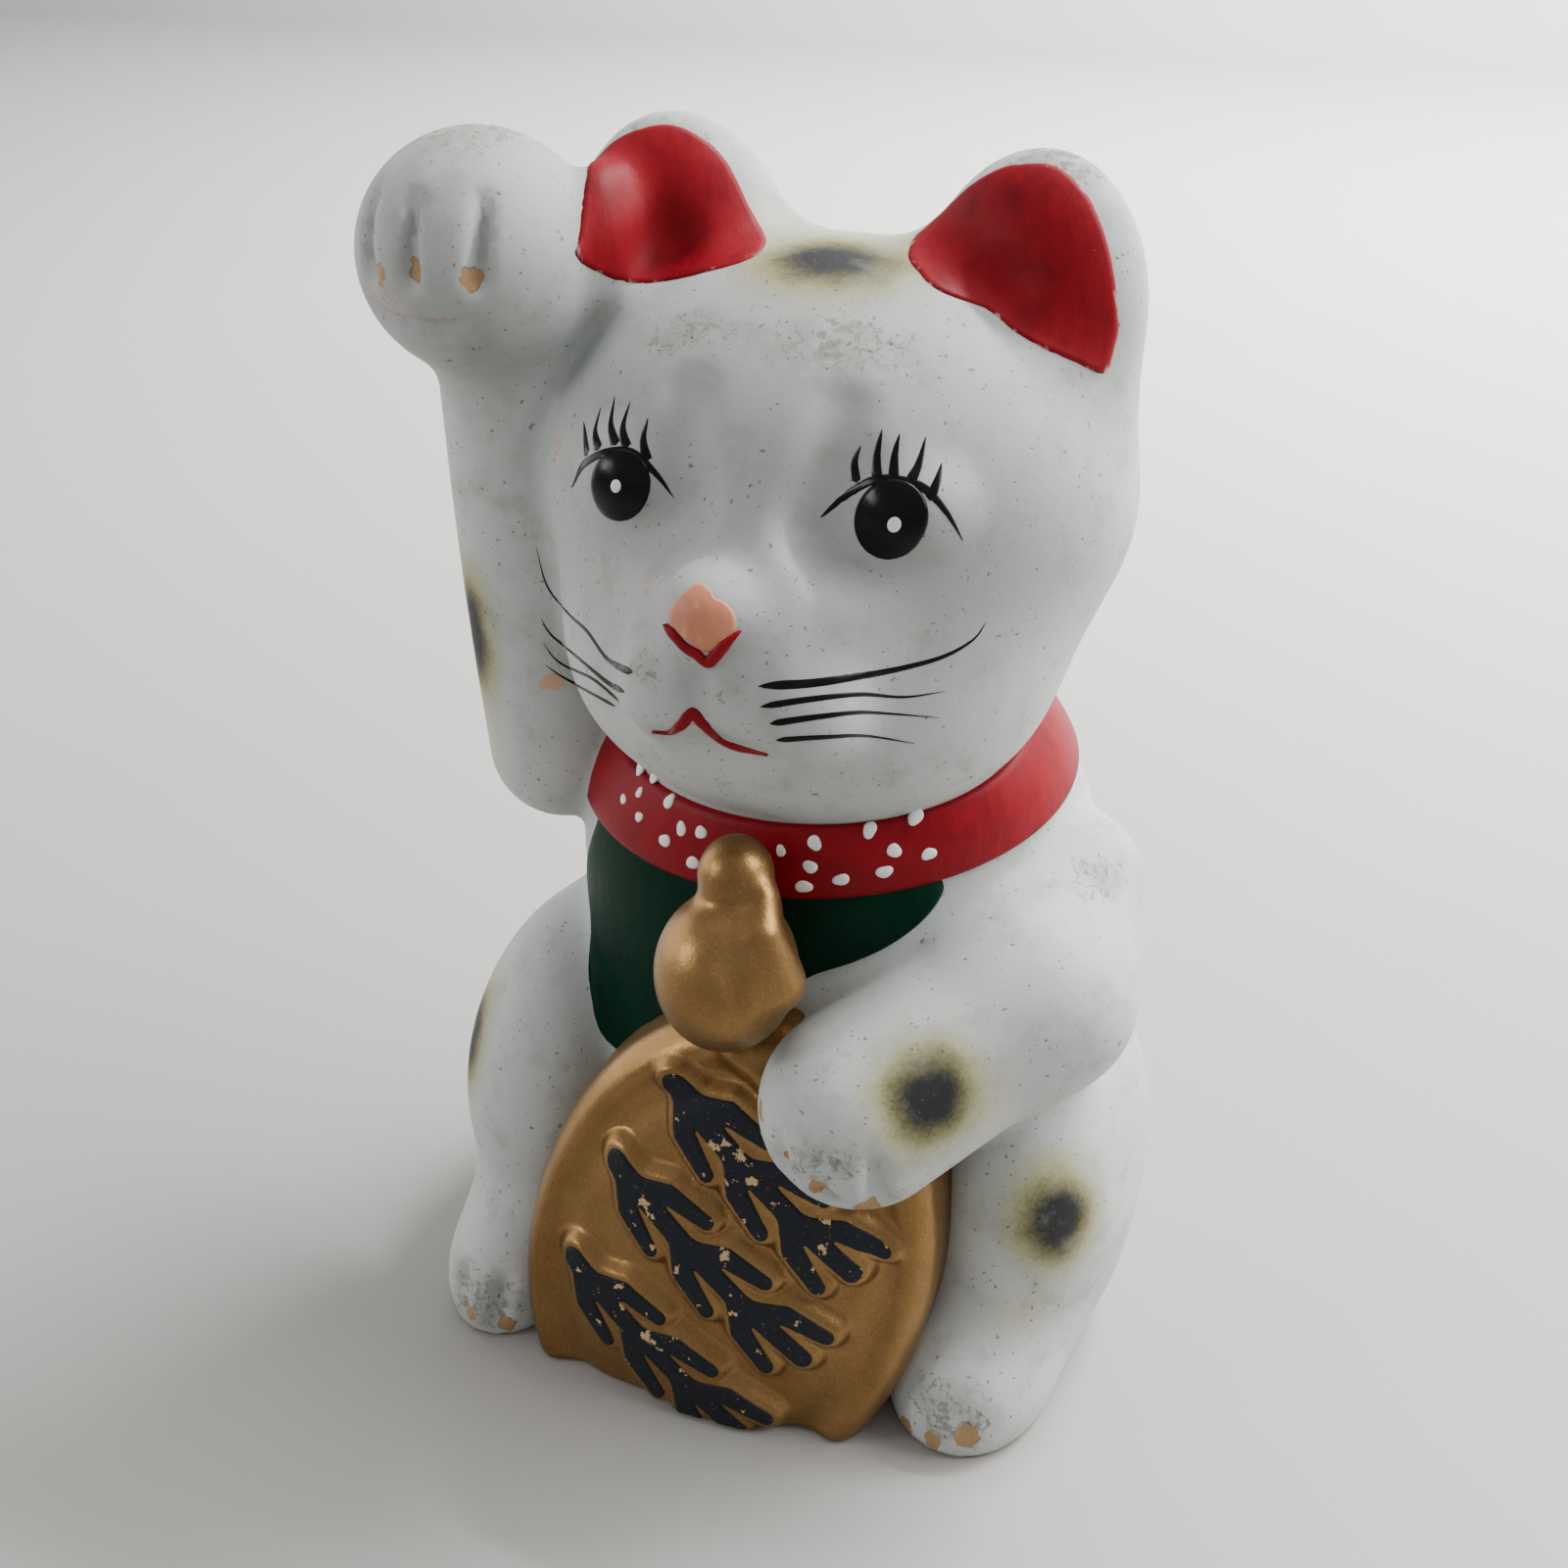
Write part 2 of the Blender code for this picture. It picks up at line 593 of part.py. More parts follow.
def coin_point(across, up, depth):
    """A point of the coin from its place on the face, in the coin's own directions."""
    turn = COIN_LEAN
    x = COIN_CENTRE[0] + across * math.cos(turn) + up * math.sin(turn)
    z = COIN_CENTRE[1] - across * math.sin(turn) + up * math.cos(turn)
    power = COIN_SQUARENESS
    out = (np.abs(across / COIN_HALF_WIDTH) ** power + np.abs(up / COIN_HALF_HEIGHT) ** power) ** (1 / power)
    y = -COIN_FRONT + z * math.tan(COIN_RAKE) + COIN_DOME * np.minimum(out, 1) ** 2 + depth
    return np.stack([x + 0 * y, y, z + 0 * y], axis=-1)


def coin_solid(name, grow, finish):
    """The coin: a squared oval with a domed face and a flat back."""
    count = COIN_COLUMNS
    turn = (np.arange(count) + 0.5) * 2 * math.pi / count
    power = 2 / COIN_SQUARENESS
    across = np.sign(np.cos(turn)) * np.abs(np.cos(turn)) ** power * (COIN_HALF_WIDTH + grow)
    up = np.sign(np.sin(turn)) * np.abs(np.sin(turn)) ** power * (COIN_HALF_HEIGHT + grow)
    rings = [coin_point(across * share, up * share, -grow) for share in COIN_RINGS]
    flat_back = COIN_THICKNESS - COIN_DOME
    for share in (1, COIN_BACK_RING):
        ring = coin_point(across * share, up * share, 0)
        ring[:, 1] = -COIN_FRONT + ring[:, 2] * math.tan(COIN_RAKE) + COIN_DOME + flat_back + grow
        rings.append(ring)
    total = len(rings) * count
    zero = np.zeros(1)
    middle = coin_point(zero, zero, -grow)
    behind = middle + (0, COIN_THICKNESS + 2 * grow, 0)
    faces = grid_faces(len(rings), count) + cap_faces(len(rings), count, total + 1)
    faces += [((c + 1) % count, c, total) for c in range(count)]
    return solid(name, np.concatenate([*rings, middle, behind]), faces, finish)


def build_coin(finish, cutters):
    cut(coin_solid("coin", 0.0, finish), *cutters)


def build_sprigs(finish, cutters):
    """Leafy sprigs in relief on the coin's face."""
    along = np.linspace(-1, 1, SPRIG_ROWS)[:, None]
    aside = np.linspace(-1, 1, SPRIG_COLUMNS)[None]
    leaf = np.abs(np.sin(np.pi * SPRIG_LEAVES * (along + 1) / 2))
    width = SPRIG_HALF_WIDTH * (SPRIG_STEM_SHARE + (1 - SPRIG_STEM_SHARE) * leaf)
    width = width * np.sqrt(np.maximum(SPRIG_TIP_SHARE, 1 - along**4))
    long, wide = along * SPRIG_LENGTH / 2 + 0 * aside, aside * width
    cos, sin = math.cos(SPRIG_TURN), math.sin(SPRIG_TURN)
    for number, (right, up) in enumerate(SPRIG_PLACES, 1):
        across = right + long * cos - wide * sin
        rise = up + long * sin + wide * cos
        raised = coin_point(across, rise, -GAP - SPRIG_RAISE * (1 - SPRIG_DOME_SHARE * aside**2))
        under = coin_point(across, rise, -GAP)
        made = slab(f"coin_sprig_{number}", raised, under, finish)
        cut(made, *cutters)


def main():
    for old in list(bpy.data.objects):
        bpy.data.objects.remove(old)
    white = material("white_paint", WHITE, 0.75)
    red = material("red_paint", RED, 0.45)
    green = material("green_paint", GREEN, 0.5)
    gold = material("gold_paint", GOLD, 0.4, 0.8)
    black = material("black_paint", BLACK, 0.35)
    clay = material("bare_clay", CLAY, 0.85)
    rubber = material("rubber", RUBBER, 0.7)
    floor = box("floor_cutter", (-FAR, -FAR, -FAR), (FAR, FAR, 0))
    body = upright_solid("body_grown", GAP, [(-BELOW, 0.0), *body_rows()])
    coin_grown = coin_solid("coin_grown", GAP, None)
    build_halves(white)
    build_base(clay, rubber)
    raised, fore = build_arms(white, body, build_ears(white, body))
    build_feet_and_tail(white, body, coin_grown)
    collar = build_collar(red, body, (raised, fore))
    hung = build_bell(gold, body, collar)
    build_bib(green, (body, raised, fore, *hung, coin_grown))
    build_coin(gold, (body, fore, hung[0], floor))
    build_sprigs(black, (fore, floor))


main()
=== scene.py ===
# %% [markdown]
# # A beckoning cat in painted clay
# The object is a savings bank of tan clay, pressed in a two-part mould, joined with slip, fired, and painted
# by hand and by airbrush.  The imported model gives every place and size.  This lesson builds the look: one
# continuous clay skin, the coin, bell, collar and bib in relief, and each brush stroke as a layer of paint.

import json
import math

import bpy
import numpy as np
from mathutils import Matrix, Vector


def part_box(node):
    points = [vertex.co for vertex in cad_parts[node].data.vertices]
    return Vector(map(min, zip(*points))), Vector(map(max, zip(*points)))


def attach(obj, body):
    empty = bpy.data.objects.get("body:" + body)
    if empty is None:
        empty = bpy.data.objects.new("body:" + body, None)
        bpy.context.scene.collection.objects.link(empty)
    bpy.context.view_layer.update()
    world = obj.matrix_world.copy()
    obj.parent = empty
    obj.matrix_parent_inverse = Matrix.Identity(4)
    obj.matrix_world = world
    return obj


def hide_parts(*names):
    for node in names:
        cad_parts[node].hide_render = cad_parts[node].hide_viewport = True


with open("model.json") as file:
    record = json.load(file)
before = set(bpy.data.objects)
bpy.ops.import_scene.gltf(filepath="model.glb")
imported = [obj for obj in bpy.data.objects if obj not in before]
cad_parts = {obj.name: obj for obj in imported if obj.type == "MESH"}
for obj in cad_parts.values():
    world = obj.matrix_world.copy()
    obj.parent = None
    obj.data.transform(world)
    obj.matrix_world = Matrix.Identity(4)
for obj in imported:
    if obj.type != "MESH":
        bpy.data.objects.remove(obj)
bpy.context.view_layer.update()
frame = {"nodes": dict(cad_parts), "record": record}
BODY = "figurine"
MM = 0.001


# %% [markdown]
# ## Places from the frame
# A potter measures in millimetres, so the shapes below are written in millimetres and only a finished mesh is
# scaled to metres.  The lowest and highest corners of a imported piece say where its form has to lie.

# %% Corners of a node in millimetres
def corners(node):
    """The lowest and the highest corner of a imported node."""
    low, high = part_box(node)
    return np.array(low) / MM, np.array(high) / MM


crown = corners("body_front_half")[1][2]
ear_top = corners("ear_left")[1][2]
print(f"crown {crown:.1f} mm, ear tips {ear_top:.1f} mm")


# %% [markdown]
# ## Clay as a field
# Soft forms that flow into each other are hard to draw as grids, because the arms, ears and haunches all need
# a fillet against the body.  A field gives a number at every point, negative inside the clay, and near the
# surface that number is the distance to it.  Two forms are joined by the smaller of their numbers, and a
# smoothed minimum leaves a fillet.  So the whole figure is a sum of eggs and limbs, like balls of clay
# that are pressed together.

# %% Eggs, limbs and fillets
def ellipsoid(p, centre, half):
    """Roughly the distance to an egg: k(k - 1)/s, with k the length over the half sizes and s its slope."""
    offset = p - np.asarray(centre, np.float32)
    half = np.asarray(half, np.float32)
    near = np.sqrt(((offset / half) ** 2).sum(-1))
    slope = np.sqrt(((offset / half**2) ** 2).sum(-1)) + 1e-9
    return near * (near - 1) / slope


def limb(p, start, end, start_radius, end_radius):
    """Distance to a round limb: the distance to the nearest point of its axis, less the radius there."""
    start = np.asarray(start, np.float32)
    along = np.asarray(end, np.float32) - start
    share = np.clip(((p - start) @ along) / (along @ along), 0, 1)
    away = np.sqrt((((p - start) - share[..., None] * along) ** 2).sum(-1))
    return away - (start_radius + (end_radius - start_radius) * share)


def joined(a, b, width):
    """The smaller of two fields, with a quarter of the width taken off where they are equal: a fillet."""
    share = np.clip(0.5 + 0.5 * (b - a) / width, 0, 1)
    return b + (a - b) * share - width * share * (1 - share)


def carved(a, b, width):
    """Field a with b scooped out of it, its edge rounded."""
    return -joined(-a, b, width)


def common(a, b, width):
    """Where both are clay: the larger of two fields, with the edge between them rounded."""
    return -joined(-a, -b, width)


def mirrored(p):
    """Folds the cat's right side onto its left."""
    return np.abs(p * np.float32((1, 0, 0))) + p * np.float32((0, 1, 1))


def turned(p, centre, lean, turn):
    """Points as a piece sees them that leans sideways and turns about the vertical, both in degrees."""
    offset = p - np.asarray(centre, np.float32)
    cos, sin = math.cos(math.radians(lean)), math.sin(math.radians(lean))
    x, z = cos * offset[..., 0] - sin * offset[..., 2], sin * offset[..., 0] + cos * offset[..., 2]
    cos, sin = math.cos(math.radians(turn)), math.sin(math.radians(turn))
    y = offset[..., 1]
    return np.stack([cos * x + sin * y, cos * y - sin * x, z], -1)


# %% [markdown]
# ## The forms of the cat
# Head, jaw and muzzle are three eggs with wide fillets, and a pair of small eggs makes the whisker pads.  The
# trunk is an egg for the chest on a bigger one for the hips, with an egg for each haunch, a shin on the left,
# and low, wide eggs for the seat.  This is the part of the mould that is hollow, so it gets its own function,
# which the inner wall uses again.

# %% The hollow body and head
HEAD = np.array((50.5, 43.0, 39.5))
SKULL = np.array((0.0, 0.0, crown - HEAD[2]))
WALL = 5.0


HEAD_EGGS = [  # centre from the skull's, half sizes, fillet: jaw, muzzle, whisker pads
    ((0, -15, -27), (41, 32, 26), 14),
    ((0, -37, -14), (17, 17, 15), 12),
    ((9, -46, -21), (10, 8, 8), 6),
]
CHEST = ((0, 4, 95), (48, 40, 40))
HIPS = ((0, 8, 40), (52, 48, 56))
HAUNCHES = ((46, -9, 37), (20, 34, 37))
RIGHT_HAUNCH = ((-47.5, -13, 37), (19.5, 30, 32))
LEFT_SHIN = ((49, -22, 36), (42, -38, 13), 12, 10)
SEAT = ((0, 8, 24), (53, 48.5, 68))
SEAT_SIDES = ((44, -8, 14), (17, 24, 26))


def hollow_form(p):
    """Head and trunk without ears, limbs or any small relief."""
    both = mirrored(p)
    head = ellipsoid(both, SKULL, HEAD)
    for centre, half, fillet in HEAD_EGGS:
        head = joined(head, ellipsoid(both, SKULL + centre, half), fillet)
    trunk = joined(ellipsoid(both, *CHEST), ellipsoid(both, *HIPS), 26)
    trunk = joined(trunk, ellipsoid(both, *HAUNCHES), 6)
    trunk = joined(trunk, ellipsoid(p, *RIGHT_HAUNCH), 6)
    for form in (limb(p, *LEFT_SHIN), ellipsoid(both, *SEAT), ellipsoid(both, *SEAT_SIDES)):
        trunk = joined(trunk, form, 8)
    return joined(head, trunk, 6)


# %% Ears
EAR_HALF = np.array((19.5, 13.0, 27.0))
LEFT_EAR = np.array((29.5, 4.0, ear_top - EAR_HALF[2]))
RIGHT_EAR = np.array((-28.5, 4.0, ear_top - EAR_HALF[2] + 2.5))


def ear(p, centre, side):
    """A flattened egg that leans out, with a shallow hollow in its front; side is -1 for the cat's right."""
    seen = turned((p - centre) * np.float32((side, 1, 1)), (0, 0, 0), 7, -12)
    return carved(ellipsoid(seen, (0, 0, 0), EAR_HALF), ellipsoid(seen, (0, -21, 5), (12.5, 11, 15)), 3)


def ears(p):
    """Both ears.  The cat's right one sits a little higher, and its foot swells out beside the raised paw."""
    right = joined(ear(p, RIGHT_EAR, -1), ellipsoid(p, RIGHT_EAR + (-9, -13, 9), (6.5, 9.5, 11)), 6)
    return np.minimum(ear(p, LEFT_EAR, 1), right)


# %% Limbs
paw_low, paw_high = corners("raised_arm")
RAISED_PAW = np.array((paw_low[0] + 20.5, -17, paw_high[2] - 18.0))
PAW_HALF = (19.5, 20.8, 19.3)
GROOVE_REACH = 20.5  # how far in front of the paw's middle the toe grooves lie
COIN_PAW = np.array((21.5, -46.0, 68.0))
ELBOW = np.array((45.0, -24.0, 82.5))


def raised_arm(p):
    """The arm beside the cheek, and the curled paw with its toe grooves and the crease under them."""
    shoulder, wrist = np.array((-50.0, -8, 106)), RAISED_PAW + (2, 5, -6)
    bow = np.array((-53.5, -10, 146))
    share = np.linspace(0, 1, 6)[:, None]
    path = (1 - share) ** 2 * shoulder + 2 * share * (1 - share) * bow + share**2 * wrist
    parts = [limb(p, path[i], path[i + 1], 14 - 0.2 * i, 13.8 - 0.2 * i) for i in range(5)]
    arm = np.minimum.reduce(parts)
    paw = ellipsoid(p, RAISED_PAW, PAW_HALF)
    for side in (-9.5, -1, 9):
        ends = []
        for up in (11, 0):
            forward = GROOVE_REACH * math.sqrt(1 - (side / PAW_HALF[2]) ** 2 - (up / PAW_HALF[2]) ** 2)
            ends.append(RAISED_PAW + (side, -forward, up))
        paw = carved(paw, limb(p, *ends, 0.7, 1.5), 2.0)
    crease = limb(p, RAISED_PAW + (-12, -15.5, -6.5), RAISED_PAW + (7, -18.6, -8.5), 0.9, 0.9)
    paw = carved(paw, crease, 3)
    return joined(arm, paw, 5)


def coin_arm(p):
    """The arm across the chest, and the paw that holds the coin, with shallow grooves between its toes."""
    arm = joined(limb(p, (46, -2, 93), ELBOW, 13, 16), limb(p, ELBOW, COIN_PAW, 16, 17), 8)
    for side in (-9, -1, 7):
        start = COIN_PAW + (side, -14.5, 1)
        arm = carved(arm, limb(p, start, start + (1, 1.5, -10), 0.9, 2.0), 2.2)
    return arm


def feet(p):
    """Two feet flat on the table, with toe grooves."""
    left, right = ellipsoid(p, (41.5, -33.5, 5), (15, 20.5, 16)), ellipsoid(p, (-50, -35.5, 6), (14, 22, 17))
    foot = np.minimum(left, right)
    for side in (-5, 3):
        for start in (np.array((42.5 + side, -51, 12.5)), np.array((-51 - side, -54, 13))):
            foot = carved(foot, limb(p, start, start + (0, -4, -9), 0.8, 1.6), 2.2)
    return foot


tail_side, tail_back, _ = corners("tail")[1]


def tail(p):
    """A short tail that lies round the back of the hips."""
    root = (0, tail_back - 9, 16)
    bend = (20, tail_back - 9.5, 16)
    tip = (tail_side - 8, tail_back - 17, 16)
    return joined(limb(p, root, bend, 7, 8.5), limb(p, bend, tip, 8.5, 7.5), 6)


# %% [markdown]
# ## Relief in the face
# The mould carries more than the big forms: a bridge between two soft furrows that run from the brow to the
# nose, a hollow round each eye with the eyeball swelling out of it, and the groove from the nose to the lip.
# Each is a small egg or limb that is joined on or carved away with a wide, soft edge.

# %% Face relief
EYE_SIDE, EYE_UP = 21.5, 7.5


def face_relief(p, clay):
    """Adds eyeballs and nose, and carves sockets, furrows, the philtrum and the line of the lip."""
    both = mirrored(p)
    clay = carved(clay, ellipsoid(both, SKULL + (EYE_SIDE - 1, -42.6, EYE_UP + 1), (14, 6.2, 10.5)), 5)
    clay = joined(clay, ellipsoid(both, SKULL + (EYE_SIDE, -29.5, EYE_UP), (10.5, 9.8, 9)), 2.5)
    clay = carved(clay, limb(both, SKULL + (12.5, -36.2, 23), SKULL + (11, -42.8, 8), 2.8, 3.0), 5)
    clay = joined(clay, ellipsoid(p, SKULL + (-3, -49, -6), (6.5, 6, 6)), 5)
    clay = carved(clay, limb(p, SKULL + (-3, -54.8, -14.5), SKULL + (-3, -55.0, -20.5), 1.3, 1.5), 3)
    return carved(clay, ellipsoid(p, SKULL + (-3, -54, -29.5), (13, 6, 4.5)), 4)


# %% [markdown]
# ## The whole figure, and its inside
# The outside joins everything.  The inside is the hollow form again, one wall thickness in, and it is open
# at the base and through the coin slot.  So the bank is a real shell with a real slot in its back.

# %% Outside, inside and slot
openings = {opening["name"]: opening["box_m"] for opening in frame["record"]["physics"]["openings"]}
slot_low, slot_high = np.array(openings["coin_slot"]) / MM


def outside(p):
    """The painted surface of the cat."""
    clay = face_relief(p, hollow_form(p))
    clay = joined(clay, ears(p), 9)
    clay = joined(clay, feet(p), 11)
    clay = joined(clay, raised_arm(p), 3)
    clay = joined(clay, coin_arm(p), 4)
    return joined(clay, tail(p), 3)


def slot(p):
    """A box through the back wall, its size taken from the opening that the record states."""
    half = (slot_high - slot_low) / 2 + (1.5, 0, 0.3)
    away = np.abs(p - (slot_high + slot_low) / 2) - half
    return np.max(away, axis=-1)


def shell(p):
    """Outside, flat at the table, with the inside and the slot taken away."""
    clay = np.maximum(outside(p), -p[..., 2])
    thick = WALL + 4 * np.clip((p[..., 2] - 110) / 25, 0, 1)
    clay = carved(clay, hollow_form(p) + thick, 0.6)
    return carved(clay, slot(p), 1.2)


# %% [markdown]
# ## From a field to a mesh
# A net is laid over the surface: space is cut into small cubes, each cube that the surface passes through
# gets one point, and every cube edge that crosses the surface gets the face between its four cubes.  Then
# the points are slid along the field's slope until they lie on the surface, and evened out between.  To
# save time, only blocks of cubes near the surface are worked out in full.

# %% Laying a net over a field
REACH = 0.05


def slope_of(field, p):
    """The slope, from six neighbours: the difference across a point over the distance between them."""
    steps = np.eye(3, dtype=np.float32) * REACH
    return np.stack([(field(p + s) - field(p - s)) / (2 * REACH) for s in steps], -1)


def settled(field, p, rounds, most):
    """Points slid onto the surface: each step is the value over the slope's length, along the slope."""
    for _ in range(rounds):
        value, slope = field(p), slope_of(field, p)
        step = value[:, None] * slope / ((slope**2).sum(-1, keepdims=True) + 1e-6)
        p = p - np.clip(step, -most, most)
    return p.astype(np.float32)


BLOCK = 8


def sampled(field, low, counts, step):
    """The field at every grid point near the surface.  Far blocks only get their middle's value."""
    blocks = -(-counts // BLOCK)
    index = np.stack(np.meshgrid(*[np.arange(b) for b in blocks], indexing="ij"), -1).reshape(-1, 3)
    middles = low + (index * BLOCK + (BLOCK - 1) / 2) * step
    rough = field(middles.astype(np.float32))
    near = np.abs(rough) < BLOCK * step * 1.3
    values = np.repeat(rough[:, None], BLOCK**3, 1)
    inner = np.stack(np.meshgrid(*[np.arange(BLOCK)] * 3, indexing="ij"), -1).reshape(-1, 3)
    points = low + (index[near][:, None] * BLOCK + inner) * step
    values[near] = field(points.reshape(-1, 3).astype(np.float32)).reshape(-1, BLOCK**3)
    shape = (*blocks, BLOCK, BLOCK, BLOCK)
    return values.reshape(shape).transpose(0, 3, 1, 4, 2, 5).reshape(blocks * BLOCK)


def net(field, low, high, step):
    """Points and quads of the surface where the field is zero."""
    low = np.asarray(low, float)
    counts = np.ceil((np.asarray(high) - low) / step).astype(int) + 1
    values = sampled(field, low, counts, step)
    inside = values < 0
    cubes = np.array(inside.shape) - 1
    total = np.zeros(cubes, int)
    for i, j, k in np.ndindex(2, 2, 2):
        total += inside[i : i + cubes[0], j : j + cubes[1], k : k + cubes[2]]
    crossed = (total > 0) & (total < 8)
    number = np.full(crossed.shape, -1)
    number[crossed] = np.arange(crossed.sum())
    points = low + (np.argwhere(crossed) + 0.5) * step
    quads = []
    for axis in range(3):
        a, b = (axis + 1) % 3, (axis + 2) % 3
        before = np.moveaxis(inside, (axis, a, b), (0, 1, 2))
        cells = np.moveaxis(number, (axis, a, b), (0, 1, 2))
        first, second = before[:-1, 1:-1, 1:-1], before[1:, 1:-1, 1:-1]
        around = [cells[:, :-1, :-1], cells[:, 1:, :-1], cells[:, 1:, 1:], cells[:, :-1, 1:]]
        around = np.stack(around, -1)
        quads.append(around[first & ~second])
        quads.append(around[~first & second][:, ::-1])
    quads = np.concatenate(quads)
    points = settled(field, points.astype(np.float32), 3, step)
    for _ in range(2):
        points = settled(field, evened(points, quads), 1, step)
    return points, quads


def evened(points, quads):
    """Each point moved half way to the middle of the faces that it belongs to."""
    total = np.zeros_like(points)
    count = np.zeros(len(points))
    centres = points[quads].mean(1)
    for column in quads.T:
        for axis in range(3):
            total[:, axis] += np.bincount(column, centres[:, axis], len(points))
        count += np.bincount(column, minlength=len(points))
    return (points + total / count[:, None]) / 2


# %% Putting numpy arrays into a mesh
def piece(name, points, faces, finish, body=BODY):
    """An object from points in millimetres and faces of three or four corners; it rides on a body, if any."""
    mesh = bpy.data.meshes.new(name)
    faces = [np.asarray(f) for f in (faces if isinstance(faces, list) else [faces])]
    loops = np.concatenate([f.reshape(-1) for f in faces]).astype(np.int32)
    sizes = np.concatenate([np.full(len(f), f.shape[1]) for f in faces]).astype(np.int32)
    mesh.vertices.add(len(points))
    mesh.vertices.foreach_set("co", (np.asarray(points, np.float32) * MM).ravel())
    mesh.loops.add(len(loops))
    mesh.loops.foreach_set("vertex_index", loops)
    mesh.polygons.add(len(sizes))
    mesh.polygons.foreach_set("loop_start", (np.cumsum(sizes) - sizes).astype(np.int32))
    mesh.polygons.foreach_set("loop_total", sizes)
    mesh.update(calc_edges=True)
    mesh.validate()
    mesh.shade_smooth()
    mesh.materials.append(finish)
    made = bpy.data.objects.new(name, mesh)
    bpy.context.scene.collection.objects.link(made)
    if body:
        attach(made, body)
    print(f"{name}: {len(points)} points, {len(sizes)} faces")
    return made


def mark(made, name, values):
    """Stores one number per point, which a paint reads by its name."""
    held = made.data.attributes.new(name, "FLOAT", "POINT")
    held.data.foreach_set("value", np.asarray(values, np.float32))


# %% [markdown]
# ## Writing materials as sums
# A paint is easier to read as arithmetic than as a page of nodes.  A wire wraps one socket, and adding or
# multiplying wires adds the Math node.  One method makes every other node.

# %% Wires and paints
class Wire:
    """One output socket that can be added, subtracted and multiplied."""

    def __init__(self, paint, socket):
        self.paint, self.socket = paint, socket

    def _math(self, operation, a, b):
        return self.paint.node("Math", {"operation": operation}, {0: a, 1: b})

    def __add__(self, other):
        return self._math("ADD", self, other)

    def __sub__(self, other):
        return self._math("SUBTRACT", self, other)

    def __rsub__(self, other):
        return self._math("SUBTRACT", other, self)

    def __mul__(self, other):
        return self._math("MULTIPLY", self, other)

    __radd__ = __add__

    def least(self, other):
        return self._math("MINIMUM", self, other)

    def most(self, other):
        return self._math("MAXIMUM", self, other)


PLAIN = [  # a plain number's name here, the shader's name for it, and its usual value
    ("roughness", "Roughness", 0.5),
    ("metallic", "Metallic", 0.0),
    ("coat", "Coat Weight", 0.0),
    ("coat_roughness", "Coat Roughness", 0.2),
    ("specular", "Specular IOR Level", 0.5),
]


